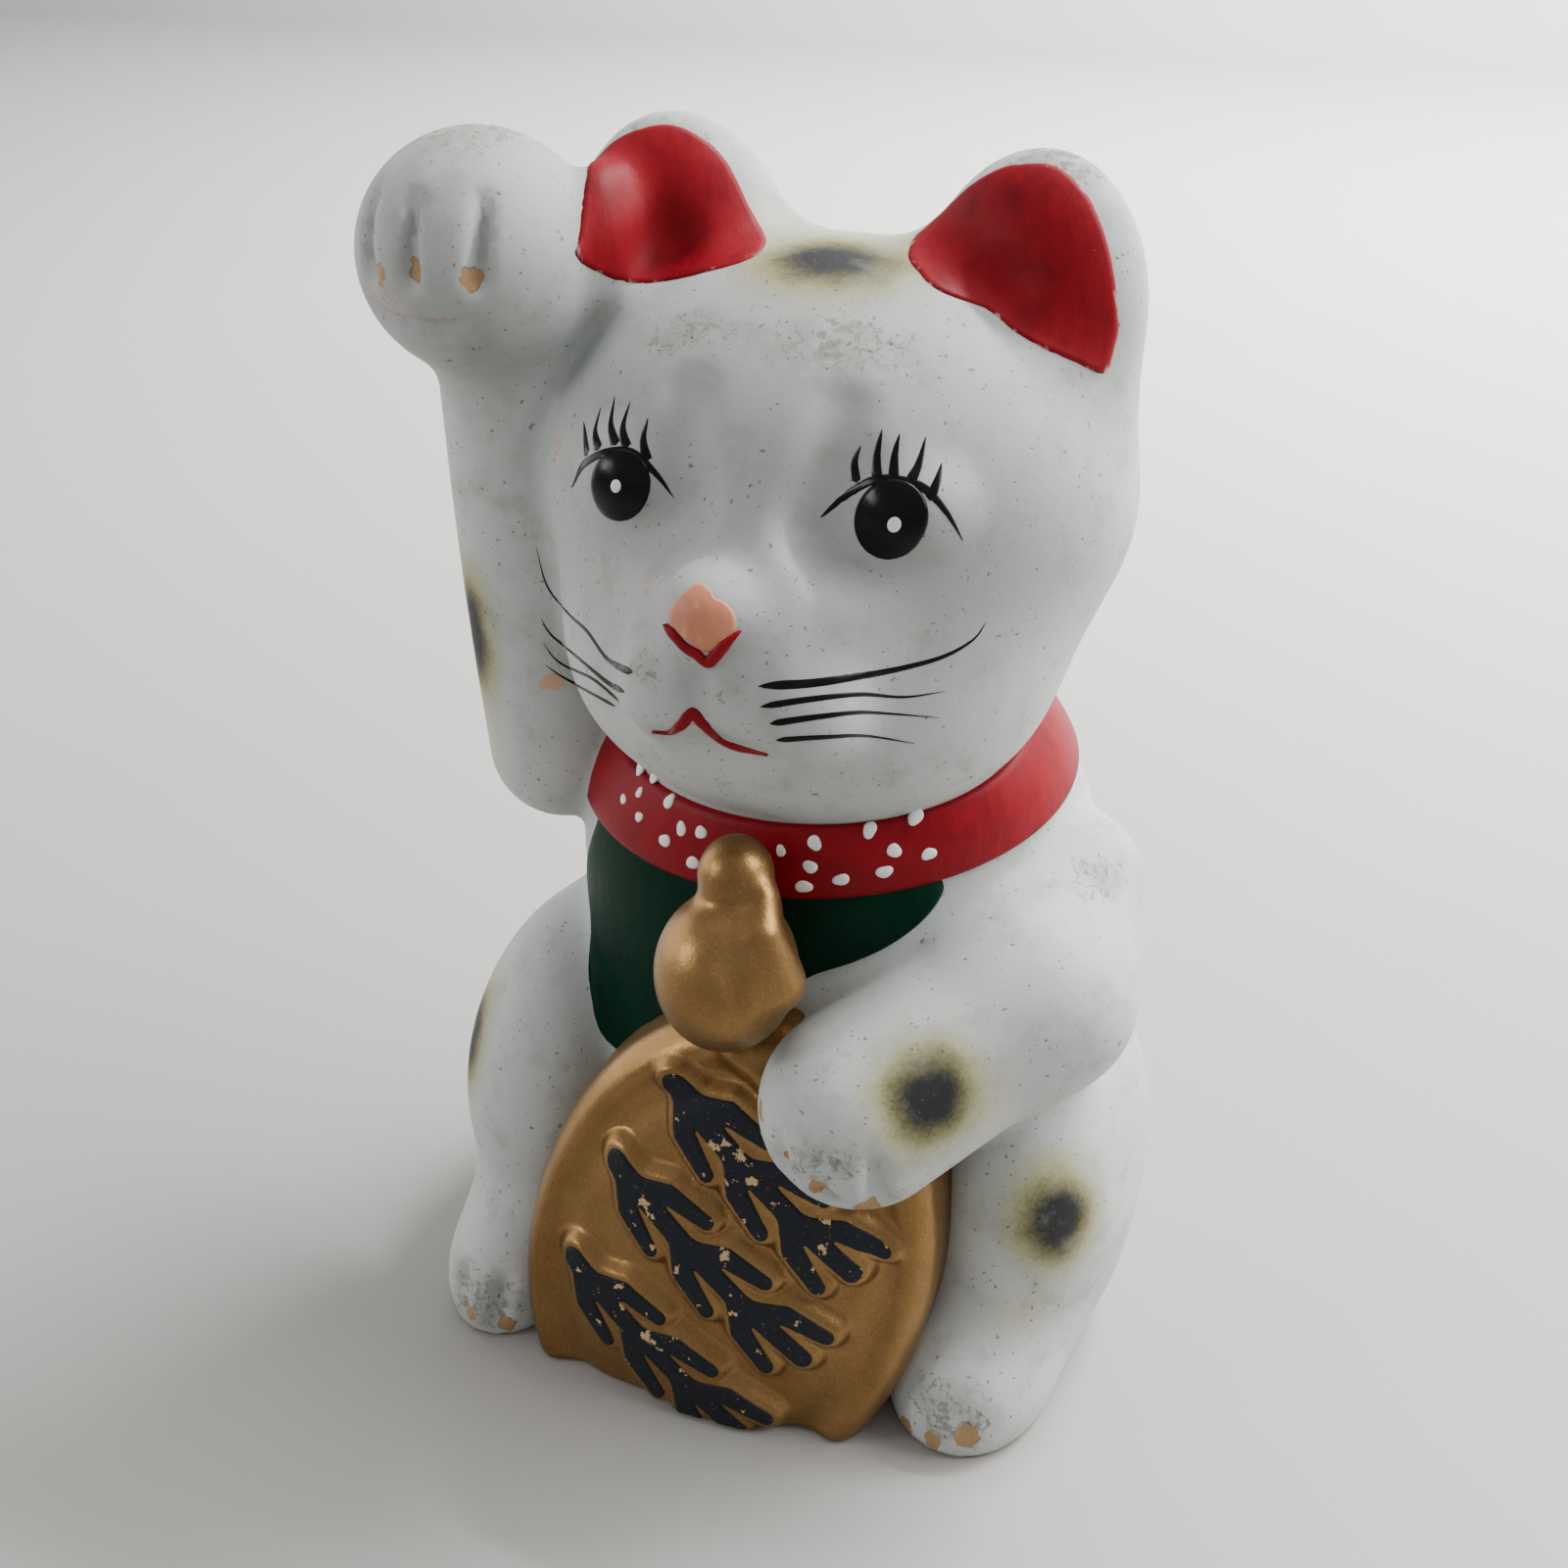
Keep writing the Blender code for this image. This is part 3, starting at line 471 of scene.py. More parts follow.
class Paint:
    """A material under construction."""

    def __init__(self, name, **plain):
        """The named values are the shader's plain numbers, until a wire takes their place."""
        self.material = bpy.data.materials.new(name)
        self.material.use_nodes = True
        self.tree = self.material.node_tree
        self.shader = self.tree.nodes["Principled BSDF"]
        for key, socket, usual in PLAIN:
            self.shader.inputs[socket].default_value = plain.get(key, usual)
        self.place = self.node("TexCoord", {}, {}, "Object")

    def feed(self, socket, value):
        if isinstance(value, Wire):
            self.tree.links.new(value.socket, socket)
        elif hasattr(socket.default_value, "__len__") and len(socket.default_value) == 4:
            socket.default_value = (*value, 1.0)
        else:
            socket.default_value = value

    def node(self, kind, settings, sockets, out=0):
        """Any node: its type, its settings, which are set first, and its sockets' values or wires."""
        made = self.tree.nodes.new("ShaderNode" + kind)
        for key, value in settings.items():
            setattr(made, key, value)
        for key, value in sockets.items():
            self.feed(made.inputs[key], value)
        return Wire(self, made.outputs[out])

    def noise(self, size, detail=2.0, rough=0.5, at=None, warp=0.0):
        """Soft noise from 0 to 1 whose lumps are about this many millimetres."""
        values = {"Vector": at or self.place, "Scale": 1 / (size * MM), "Detail": detail}
        values.update({"Roughness": rough, "Distortion": warp})
        return self.node("TexNoise", {}, values, "Fac")

    def stretched(self, stretch, turn=(0, 0, 0)):
        """Object coordinates turned and scaled, so that a pattern runs along one direction."""
        return self.node("Mapping", {}, {"Vector": self.place, "Rotation": turn, "Scale": stretch})

    def ramp(self, value, low, high):
        """0 below low, 1 above high and a smooth rise between; low above high gives a fall."""
        sockets = {"Value": value, "From Min": low, "From Max": high}
        return self.node("MapRange", {"interpolation_type": "SMOOTHSTEP"}, sockets)

    def mix(self, mask, a, b):
        return self.node("Mix", {"data_type": "RGBA"}, {0: mask, 6: a, 7: b}, 2)

    def near(self, centre, half, at=None):
        """Distance from a point in millimetres, over the half sizes of an egg round it: 1 on the egg."""
        centre = tuple(np.asarray(centre, float) * MM)
        sockets = {0: at or self.place, 1: centre}
        offset = self.node("VectorMath", {"operation": "SUBTRACT"}, sockets)
        sockets = {0: offset, 1: tuple(1 / (h * MM) for h in half)}
        scaled = self.node("VectorMath", {"operation": "MULTIPLY"}, sockets)
        return self.node("VectorMath", {"operation": "LENGTH"}, {0: scaled}, "Value")

    def nearest(self, places, at=None):
        """The least of the distances to several (centre, half sizes)."""
        found = self.near(*places[0], at)
        for place in places[1:]:
            found = found.least(self.near(*place, at))
        return found

    def wobbled(self, size, amount):
        """Object coordinates pushed about by noise, so that an edge turns ragged."""
        sockets = {"Vector": self.place, "Scale": 1 / (size * MM), "Detail": 3.0}
        push = self.node("TexNoise", {}, sockets, "Color")
        push = self.node("VectorMath", {"operation": "SUBTRACT"}, {0: push, 1: (0.5, 0.5, 0.5)})
        push = self.node("VectorMath", {"operation": "SCALE"}, {0: push, "Scale": amount * MM * 2})
        return self.node("VectorMath", {"operation": "ADD"}, {0: self.place, 1: push})

    def done(self, colour, bump, height, roughness=None, metallic=None):
        """Feeds the shader and returns the material.  height is the bump's depth in millimetres."""
        self.feed(self.shader.inputs["Base Color"], colour)
        for name, value in (("Roughness", roughness), ("Metallic", metallic)):
            if value is not None:
                self.feed(self.shader.inputs[name], value)
        normal = self.node("Bump", {}, {"Height": bump, "Distance": height * MM, "Strength": 1.0})
        self.feed(self.shader.inputs["Normal"], normal)
        return self.material


# %% [markdown]
# ## The white clay and its airbrushed spots
# Matte paint over tan clay.  It isn't one white: it is a cool grey-white with faint clouds, peppered with
# tiny specks, rubbed grey and brown on the high places that hands and shelves touch.  The black spots are
# sprayed, so they have no edge: a black core inside an olive and yellow haze.  Where the paint has flaked
# at the claws the clay shows.  The face and the raised paw are painted a darker grey as painted shade.

# %% White paint
SPRAYED = [
    ((3, -12, crown), (19, 14, 10)), ((-61, -20, 131), (8, 12, 17)), ((-62, -32, 52), (9, 12, 15)),
    ((35.5, -53.5, 79), (12, 12, 13)), ((55.5, -37.5, 46.5), (12, 12, 14)),
]
STAINED = [
    ((53, -43, 27), (12, 9, 6)), ((44, -47, 74), (6, 6, 12)), ((58, -38, 60), (8, 8, 10)),
    ((-30, -30, 100), (14, 10, 6)), ((0, -4, 203), (30, 16, 8)), ((-62, -20, 110), (8, 10, 12)),
    ((20, -40, 104), (18, 10, 8)),
]
# Eggs over the face and the raised paw where the white is painted darker: painted shade on fronts that face
# away from the light.
FACE_AND_PAW_SHADE = [((4, -35, 172), (52, 40, 42)), ((-57, -20, 198), (27, 26, 26))]
PINK = [
    ((-61, -35, 192), (6, 5, 4)), ((-52, -37, 190), (3, 3, 2)), ((-38.5, -27, 169), (1.6, 3, 3)),
    ((-16, -47, 156), (4, 5, 1.3)),
]
CLAWS = [
    ((-62, -38, 196.5), 2.0), ((-55.5, -40, 198), 2.6), ((-46.5, -38, 197), 2.6), ((7, -57, 70), 1.8),
    ((14, -60, 65), 1.5), ((20, -60.5, 62), 2.6), ((27, -58, 57), 3.0), ((-52, -57, 5), 2.0),
    ((-45, -56.5, 3.5), 2.2), ((34, -52.5, 3), 2.0), ((39.5, -53.5, 3.5), 2.4), ((45.5, -52, 6), 3.0),
]
RUBBED = [
    ((-30, -6, 214), (16, 14, 6)), ((36, 0, 214), (16, 14, 6)), ((-56, -18, 216), (20, 22, 5)),
    ((-20, -28, 191), (22, 8, 6)), ((14, -28, 191), (26, 8, 6)), ((-13, -54, 146), (6, 5, 6)),
    ((1, -57, 144), (4, 4, 4)), ((20, -64, 68), (15, 7, 7)), ((42, -54, 10), (14, 8, 10)),
    ((-49, -56, 9), (12, 8, 10)), ((53, -14, 101), (8, 10, 6)),
]


def white_paint():
    paint = Paint("white_paint", roughness=0.62, specular=0.3)
    clouds = paint.noise(38, 3, 0.6)
    fine = paint.noise(1.1, 3, 0.6)
    colour = paint.mix(clouds, (0.415, 0.445, 0.42), (0.505, 0.525, 0.50))
    ragged = paint.wobbled(2.2, 1.3)
    soft = paint.wobbled(9, 2.5)
    # The face and the raised paw get a darker grey here as painted shade.
    film = paint.ramp(paint.nearest(FACE_AND_PAW_SHADE, soft), 1.25, 0.6)
    colour = paint.mix(film * 0.7, colour, (0.30, 0.315, 0.298))
    spray = paint.nearest(SPRAYED, soft)
    speckle = paint.noise(0.7, 1)
    haze = paint.ramp(spray + (speckle - 0.5) * 0.2, 1.25, 0.40)
    core = paint.ramp(spray + (speckle - 0.5) * 0.15, 0.78, 0.26)
    stain = paint.ramp(paint.nearest(STAINED, soft), 1.1, 0.2)
    colour = paint.mix(stain * 0.35, colour, (0.52, 0.46, 0.22))
    colour = paint.mix(haze * 0.92, colour, (0.27, 0.24, 0.065))
    colour = paint.mix(core, colour, (0.012, 0.012, 0.012))
    rubbed = paint.ramp(paint.nearest(RUBBED, soft), 1.1, 0.3)
    grime = paint.ramp(paint.noise(1.6, 4, 0.72, warp=0.6) + rubbed * 0.17, 0.64, 0.77)
    colour = paint.mix(grime * 0.75, colour, (0.15, 0.138, 0.105))
    dirt = paint.ramp(paint.noise(7, 5, 0.68) + rubbed * 0.18, 0.46, 0.78)
    colour = paint.mix(dirt * 0.5, colour, (0.24, 0.235, 0.195))
    blush = paint.ramp(paint.nearest(PINK, ragged), 1.1, 0.6)
    blush = blush * paint.ramp(paint.noise(1.0, 3, 0.7), 0.50, 0.60)
    colour = paint.mix(blush * 0.6, colour, (0.60, 0.16, 0.17))
    chip = paint.ramp(paint.near((-45, -21, 124.5), (2.2, 3, 2), ragged), 1.1, 0.7)
    colour = paint.mix(chip * 0.8, colour, (0.58, 0.34, 0.17))
    specks = None
    for size, low, rare in ((1.7, 0.17, 0.47), (3.0, 0.13, 0.46), (5.5, 0.09, 0.45)):
        cells = paint.node("TexVoronoi", {}, {"Vector": ragged, "Scale": 1 / (size * MM)}, "Distance")
        chance = paint.ramp(paint.noise(size * 2.6, 2) + rubbed * 0.12, rare, rare + 0.1)
        found = paint.ramp(cells, low, low * 0.5) * chance
        specks = found if specks is None else specks.most(found)
    colour = paint.mix(specks * 0.65, colour, (0.07, 0.066, 0.055))
    claw = paint.nearest([(place, (size * 0.75, size * 2, size)) for place, size in CLAWS], ragged)
    bare = paint.ramp(claw, 1.03, 0.95)
    clay = paint.mix(paint.noise(1.5), (0.30, 0.17, 0.07), (0.40, 0.25, 0.12))
    colour = paint.mix(bare, colour, clay)
    unpainted = paint.node("Attribute", {"attribute_name": "unpainted"}, {}, "Fac")
    colour = paint.mix(unpainted, colour, (0.42, 0.27, 0.15))
    relief = clouds * 0.5 + fine * 0.16 - bare * 0.9 - specks * 0.2
    return paint.done(colour, roughness=0.60 + grime * 0.2, bump=relief, height=0.25)


WHITE = white_paint()

# %% The clay skin
STEP = 1.5
skin_points, skin_quads = net(shell, (-80, -72, -4), (76, 68, ear_top + 4), STEP)
skin = piece("clay_skin", skin_points, skin_quads, WHITE)
MOULDED = ["body_front_half", "body_back_half", "ear_left", "ear_right", "raised_arm", "coin_arm"]
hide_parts(*MOULDED, "foot_left", "foot_right", "tail")
unpainted = (hollow_form(skin_points) < -2.5) & (outside(skin_points) < -1) | (skin_points[:, 2] < 0.3)
mark(skin, "unpainted", unpainted)
print("skin box", skin_points.min(0).round(1), skin_points.max(0).round(1))


# %% [markdown]
# ## Paint that lies on the clay
# Each brush mark is a film with an edge, and it catches the light at that edge.  So the marks are thin
# closed skins and not a pattern in the white.  A patch fills an outline: the outline is drawn in front of
# the cat and carried back onto the clay.  A stroke is a ribbon along a line that was slid onto the clay. 
# Both dip under the clay at their edges, so no gap shows.

# %% Curves through given points
def curve(points, count, closed=False):
    """Between two points a cubic whose slope at each end is half the step between that point's neighbours."""
    points = np.asarray(points, float)
    if closed:
        points = np.concatenate([points[-1:], points, points[:2]])
    else:
        points = np.concatenate([2 * points[:1] - points[1:2], points, 2 * points[-1:] - points[-2:-1]])
    spans = len(points) - 3
    at = np.linspace(0, spans, count, endpoint=not closed)
    first = np.minimum(at.astype(int), spans - 1)
    t = (at - first)[:, None]
    a, b, c, d = (points[first + i] for i in range(4))
    return b + t * (c - a) / 2 + t**2 * (a - 2.5 * b + 2 * c - d / 2) + t**3 * (1.5 * (b - c) + (d - a) / 2)


# %% Carrying points onto a surface
FORWARD = np.array((0.0, 1.0, 0.0))
SEEN = np.array((-0.302, 0.830, -0.469))  # down and back, as a brush meets the face


def cast(field, points, way):
    """Points moved along one direction until the field is zero: each step is most of the field's value."""
    for _ in range(26):
        points = points + 0.9 * field(points.astype(np.float32))[..., None] * way
    return points


def upright_from(field, points):
    """Unit vectors out of the surface."""
    slope = slope_of(field, points.astype(np.float32))
    return slope / (np.linalg.norm(slope, axis=-1, keepdims=True) + 1e-9)


def faces_between(rows, columns, start=0):
    """Quads of a grid whose columns close on themselves."""
    index = start + np.arange(rows * columns).reshape(rows, columns)
    right = np.roll(index, -1, 1)
    return np.stack([index[:-1], index[1:], right[1:], right[:-1]], -1).reshape(-1, 4)


SUNK = 0.25  # how far a stroke's underside dips into the clay


class Layer:
    """Collects marks of one paint into one mesh."""

    def __init__(self):
        self.points, self.quads, self.fans, self.rims, self.count = [], [], [], [], 0

    def closed(self, rings, rim):
        """A closed skin from rings of points, capped at both ends by fans; rim is 1 at a painted edge."""
        rows, columns = rings.shape[:2]
        caps = np.stack([rings[0].mean(0), rings[-1].mean(0)])
        self.points += [rings.reshape(-1, 3), caps]
        self.rims += [rim.reshape(-1), rim[[0, -1], 0]]
        self.quads.append(faces_between(rows, columns, self.count))
        ring = np.arange(columns)
        tip = self.count + rows * columns
        last = self.count + (rows - 1) * columns
        after = np.roll(ring, -1)
        self.fans.append(np.stack([np.full(columns, tip), self.count + ring, self.count + after], -1))
        self.fans.append(np.stack([np.full(columns, tip + 1), last + after, last + ring], -1))
        self.count += rows * columns + 2

    def patch(
        self, outline, thick, field=outside, way=SEEN, ragged=0.0, columns=96, rows=14, round_rim=0.3, back=15
    ):
        """Film inside an outline: rings shrink from it to its middle, and the edge rolls off like a drop."""
        edge = curve(outline, columns, True)
        centre = edge.mean(0)
        turn = np.linspace(0, 2 * math.pi, columns, endpoint=False)
        rag = sum(np.sin(turn * n + 1.7 * n) / n**0.5 for n in (11, 17, 23, 31, 41)) * ragged
        share = np.linspace(0.06, 1, rows)[:, None]
        spread = share * (1 + rag * share**2)
        flat = centre + (edge - centre) * spread[..., None]
        clay = cast(field, flat - back * np.asarray(way), way)
        out = upright_from(field, clay)
        size = np.linalg.norm(edge - centre, axis=1).mean()
        from_rim = np.minimum((1 - share) * size / round_rim, 1)
        lift = thick * np.sqrt(1 - (1 - from_rim) ** 2)
        lift[-1] = -0.05
        top = clay + out * lift[..., None]
        under = clay - out * 0.35
        rings = np.concatenate([top, under[::-1]])
        rim = np.broadcast_to(share, clay.shape[:2])
        self.closed(rings[:, ::-1] if way[1] > 0 else rings, np.concatenate([rim, rim[::-1]]))

    def stroke(self, line, width, count, taper, thick=0.1):
        """Ribbon along a line: an oval section, as wide as the brush is pressed, that thins to both ends."""
        middle = cast(outside, curve(line, count) - 6 * SEEN, SEEN)
        out = upright_from(outside, middle)
        along = np.gradient(middle, axis=0)
        side = np.cross(along, out)
        side /= np.linalg.norm(side, axis=1, keepdims=True) + 1e-9
        at = np.linspace(0, 1, count)
        press = np.minimum(at / taper[0], 1) ** 0.6 * np.minimum((1 - at) / taper[1], 1) ** 0.7
        press = np.maximum(press, 0.04) * width / 2
        turn = np.linspace(0, 2 * math.pi, 12, endpoint=False)
        up = np.sin(turn) * np.where(np.sin(turn) > 0, thick, SUNK)
        rings = middle[:, None] + side[:, None] * (np.cos(turn)[None, :, None] * press[:, None, None])
        rings = rings + out[:, None] * up[None, :, None]
        self.closed(rings[:, ::-1], np.broadcast_to(np.abs(np.cos(turn)), rings.shape[:2]))

    def piece(self, name, finish, slot):
        faces = [np.concatenate(self.quads), np.concatenate(self.fans)]
        made = piece(name, np.concatenate(self.points), faces, finish)
        mark(made, "rim", np.concatenate(self.rims))
        return made


def oval(centre, half_width, half_height):
    """Points of an ellipse that faces the brush: cosine times one side direction, sine times the other."""
    turn = np.linspace(0, 2 * math.pi, 12, endpoint=False)[:, None]
    side = np.array((0.940, 0.342, 0.0))
    up = np.cross(side, SEEN)
    return np.asarray(centre) + half_width * np.cos(turn) * side + half_height * np.sin(turn) * up


# %% [markdown]
# ## Black paint: pupils, lids, lashes and whiskers
# The pupils are glossy and thick.  The lids and lashes are laid with the tip of a fine brush, so each
# lash starts at the lid and thins to nothing.  The whiskers are pulled outwards in one go.

# %% Black and white paint
def black_paint():
    paint = Paint("gloss_black", roughness=0.2, specular=0.16)
    streaks = paint.noise(1.6, 3, 0.6, at=paint.stretched((1, 1, 0.5)))
    colour = paint.mix(streaks, (0.001, 0.001, 0.0015), (0.005, 0.0055, 0.007))
    return paint.done(colour, roughness=0.14 + streaks * 0.2, bump=streaks, height=0.05)


# White paint for the dots on the collar and for the painted highlights on the pupils.
def dot_and_highlight_paint():
    paint = Paint("white_dot_and_highlight", roughness=0.4, coat=0.2)
    uneven = paint.noise(0.8, 2)
    return paint.done(paint.mix(uneven, (0.74, 0.74, 0.70), (0.86, 0.86, 0.83)), bump=uneven, height=0.06)


GLOSS_BLACK = black_paint()
WHITE_DOT_AND_HIGHLIGHT = dot_and_highlight_paint()

# %% Eyes
# In each eye the second entry is a small white dot on the pupil: a painted highlight.
EYES = [  # pupil, dot, lid, lashes
    (
        ((-21.5, -39.5, 169.5), 4.8, 5.2),
        ((-22, -39.5, 169), 0.9, 1.05),
        [
            (-33.5, -32, 165), (-30.5, -35, 169), (-28, -37, 171.5), (-24, -37.5, 173.5), (-20, -38, 174),
            (-16, -38.5, 171.5), (-13, -38.5, 168),
        ],
        [
            [(-28.5, -36, 172), (-30.5, -32.5, 174), (-32, -29.5, 175)],
            [(-26, -37, 173.5), (-28, -34, 175.5), (-28.5, -30.5, 178)],
            [(-23, -37, 174.5), (-25, -34.5, 177), (-26, -30.5, 180)],
            [(-21, -37.5, 174.5), (-22.5, -35.5, 177), (-22.5, -32.5, 180)],
            [(-17.5, -38, 173), (-18.5, -37, 176), (-18.5, -35, 178.5)],
        ],
    ),
    (
        ((21.5, -39.5, 169.5), 5.3, 5.6),
        ((22, -39.5, 168.5), 1.1, 1.15),
        [
            (10.5, -39, 168), (14, -38, 171.5), (18, -37.5, 174), (22, -37.5, 174.5), (25.5, -37, 173.5),
            (28.5, -36.5, 170.5), (31, -34.5, 165.5),
        ],
        [
            [(15.5, -37.5, 173.5), (15, -37, 176.5), (15.5, -36, 178.5)],
            [(18.5, -37.5, 174.5), (18, -36, 177.5), (18, -34, 180.5)],
            [(21, -37.5, 174.5), (20.5, -35.5, 177.5), (20.5, -33.5, 180)],
            [(23.5, -37, 174.5), (24, -35, 176.5), (24, -32, 179.5)],
            [(26.5, -37.5, 172), (27, -35.5, 174.5), (27, -33.5, 176.5)],
        ],
    ),
]
black = Layer()
collar_dots_and_eye_highlights = Layer()
for pupil, dot, lid, lashes in EYES:
    black.patch(oval(*pupil), thick=0.22, round_rim=0.5)
    black.stroke(lid, 1.35, count=60, taper=(0.2, 0.3))
    for lash in lashes:
        black.stroke(lash, 1.65, count=20, taper=(0.05, 0.95))

# %% Whiskers
WHISKERS = [  # how hard the brush is pressed, and its line
    (1.0, [
        (6.5, -54, 146.5), (14, -51, 147), (19.5, -45, 146.5), (24.5, -40, 146.5), (29.5, -36, 147.5),
        (33, -33, 149.5), (34.5, -31.5, 152),
    ]),
    (0.75, [(7, -54.5, 143.5), (14.5, -52, 145), (20, -46, 144), (25, -40.5, 142), (30, -36.5, 142)]),
    (0.8, [(8.5, -54.5, 141), (15.5, -52.5, 142.5), (21, -45.5, 141), (29.5, -37.5, 138)]),
    (0.75, [(9.5, -54.5, 138.5), (16, -52, 139), (20.5, -44.5, 136.5), (26.5, -39.5, 134)]),
    (0.85, [
        (-14.5, -52, 144.5), (-18, -49, 143.5), (-24.5, -41, 141), (-29.5, -37, 143), (-35.5, -31.5, 143),
        (-44, -22.5, 143), (-46, -22, 150),
    ]),
    (0.85, [
        (-16, -52, 141), (-23.5, -41.5, 136.5), (-27.5, -39, 137), (-33.5, -34, 137), (-44, -22, 134),
        (-46, -22, 137),
    ]),
    (0.6, [
        (-18.5, -49, 137.5), (-27.5, -39, 135.5), (-34, -33.5, 134), (-43, -23, 130), (-46, -21.5, 132),
    ]),
    (0.55, [(-22.5, -42, 133), (-32.5, -34.5, 131.5), (-43, -21, 126), (-46, -21.5, 128)]),
]
for press, whisker in WHISKERS:
    black.stroke(whisker, press * 1.35, thick=0.08, count=60, taper=(0.06, 0.9))
black.piece("painted_black", GLOSS_BLACK, "black_paint")


# %% [markdown]
# ## Red, salmon and green
# The ears' fronts are filled with a broad brush, so the red is streaky, and paler at its rim where the brush
# ran dry.  The nose is a salmon dab with a red line under it, and the mouth is one red stroke.

# %% Red paints
def red_paint(name, dirt, roughness, dry):
    """Dirt darkens it in clouds, and dry is how far the brush runs dry at the rim of a patch."""
    paint = Paint(name, roughness=roughness, specular=0.13)
    streaks = paint.noise(2.2, 4, 0.6, at=paint.stretched((1, 1, 0.3), (0, 0.5, 0.3)))
    colour = paint.mix(streaks, (0.17, 0.0018, 0.007), (0.27, 0.005, 0.012))
    murk = paint.ramp(paint.noise(9, 3, 0.6), 0.48, 0.70) * dirt
    colour = paint.mix(murk, colour, (0.075, 0.002, 0.004))
    rim = paint.node("Attribute", {"attribute_name": "rim"}, {}, "Fac")
    bare = paint.ramp(rim + (streaks - 0.5) * 0.35, 1.0, 1.06)
    colour = paint.mix(bare * dry, colour, (0.42, 0.36, 0.34))
    worn = paint.ramp(paint.noise(0.9, 3, 0.7), 0.72, 0.80)
    colour = paint.mix(worn * 0.5, colour, (0.62, 0.22, 0.20))
    return paint.done(colour, roughness=roughness + streaks * 0.2, bump=streaks, height=0.10)


EAR_RED = red_paint("ear_red", 0.40, 0.40, dry=0.8)
COLLAR_RED = red_paint("collar_red", 0.30, 0.36, dry=0)

# %% Ears and mouth
RIGHT_EAR_RED = [
    (-36.5, -19, 201), (-39, -10, 206), (-41, -4, 209), (-39.5, -1, 212), (-35, -1, 214.5), (-30, 0, 215.5),
    (-26, 0, 215), (-22, 0, 213), (-19, 0, 210), (-15, -2, 205), (-11, -5, 201), (-10, -9, 199),
    (-12, -13, 198), (-18, -14, 196), (-25, -13, 194), (-31, -13, 193), (-35, -15, 194), (-37, -19, 197),
]
LEFT_EAR_RED = [
    (13, -7, 200), (13, -2, 203), (16, 0, 206), (20, 1, 209.5), (25, 1, 212), (30, 0, 213), (34, -1, 213),
    (38, -2, 210), (41, -3, 206), (43, -4, 202), (45, -5, 196), (46, -6, 190), (45, -8, 185),
    (41, -11, 187), (37, -13, 189), (32, -13, 191), (27, -12, 194), (20, -13, 196), (15.5, -10, 198),
]
ear_paint = Layer()
ear_paint.patch(RIGHT_EAR_RED, thick=0.3, ragged=0.006, rows=24, back=20)
ear_paint.patch(LEFT_EAR_RED, thick=0.3, ragged=0.010, rows=24, back=20)
ear_paint.piece("ear_paint", EAR_RED, "red_paint")

MOUTH_LINE = [
    (-12, -51.5, 135), (-8, -53.5, 136.5), (-5.5, -54.5, 138.5), (-4, -54, 140.5), (-2.5, -54, 139),
    (-1, -52, 136), (1.5, -51, 134.5), (7.5, -52.5, 135),
]
NOSE_LINE = [
    (-8, -53.5, 154), (-7, -54, 153), (-4.5, -55, 151.5), (-3, -54, 150), (-1.5, -54, 149), (0, -55, 150.5),
    (1.5, -54.5, 152.5), (3.5, -53, 154.5),
]
lip_paint = Layer()
lip_paint.stroke(MOUTH_LINE, 1.9, thick=0.5, count=90, taper=(0.25, 0.12))
lip_paint.stroke(NOSE_LINE, 1.9, thick=0.75, count=80, taper=(0.15, 0.15))
lip_paint.piece("mouth_paint", COLLAR_RED, "red_paint")


# %% Nose
def nose_paint():
    paint = Paint("nose_salmon", roughness=0.45, specular=0.3)
    streaks = paint.noise(2.0, 3, at=paint.stretched((1, 1, 0.4), (0, 0.4, 0)))
    colour = paint.mix(streaks, (0.46, 0.15, 0.085), (0.55, 0.24, 0.13))
    yellow = paint.ramp(streaks, 0.58, 0.68)
    colour = paint.mix(yellow * 0.6, colour, (0.58, 0.38, 0.15))
    return paint.done(colour, bump=streaks, height=0.08)


NOSE_OUTLINE = [
    (-7.5, -54, 155), (-7, -53.5, 157), (-5.5, -53, 159), (-3.5, -52, 160.5), (-1.5, -52.5, 160),
    (-0.5, -53, 159), (1, -53, 158.5), (2.5, -53, 157), (3, -53.5, 155), (2, -54.5, 153), (0, -55, 151.5),
    (-1.5, -55, 151), (-3.5, -55, 152), (-6, -54.5, 153.5),
]
nose = Layer()
nose.patch(NOSE_OUTLINE, thick=0.25, ragged=0.004)
nose.piece("nose_paint", nose_paint(), "red_paint")

# %% [markdown]
# ## Collar and dots
# The collar is a strap in low relief that is tucked up under the jaw.  It rises towards the nape and a
# little towards the cat's left.  At each angle the radius of the clay is found at the strap's two edges, and
# the strap's face goes straight from one to the other and stands out past both, so it bridges the crease.

# %% Collar surface
COLLAR_TILT, COLLAR_CANT = math.tan(math.radians(13)), math.tan(math.radians(4))
COLLAR_MIDDLE, COLLAR_WIDTH = 114.5, 12.5


def collar_place(angle, up, radius):
    """A point at this angle and radius round the neck, and up from the tilted middle line of the strap."""
    x, y = radius * np.sin(angle), -radius * np.cos(angle)
    return np.stack([x, y, COLLAR_MIDDLE + up + COLLAR_TILT * y + COLLAR_CANT * x], -1)


def clay_radius(angle, up):
    """The radius at which the neck's clay is met, coming from outside."""
    radius = np.full(np.broadcast(angle, up).shape, 75.0)
    for _ in range(40):
        radius = radius - 0.9 * hollow_form(collar_place(angle, up, radius).astype(np.float32))
    return radius


ROUND = np.linspace(-math.pi, math.pi, 361)
LOW_EDGE = clay_radius(ROUND, -COLLAR_WIDTH / 2)
HIGH_EDGE = clay_radius(ROUND, COLLAR_WIDTH / 2)


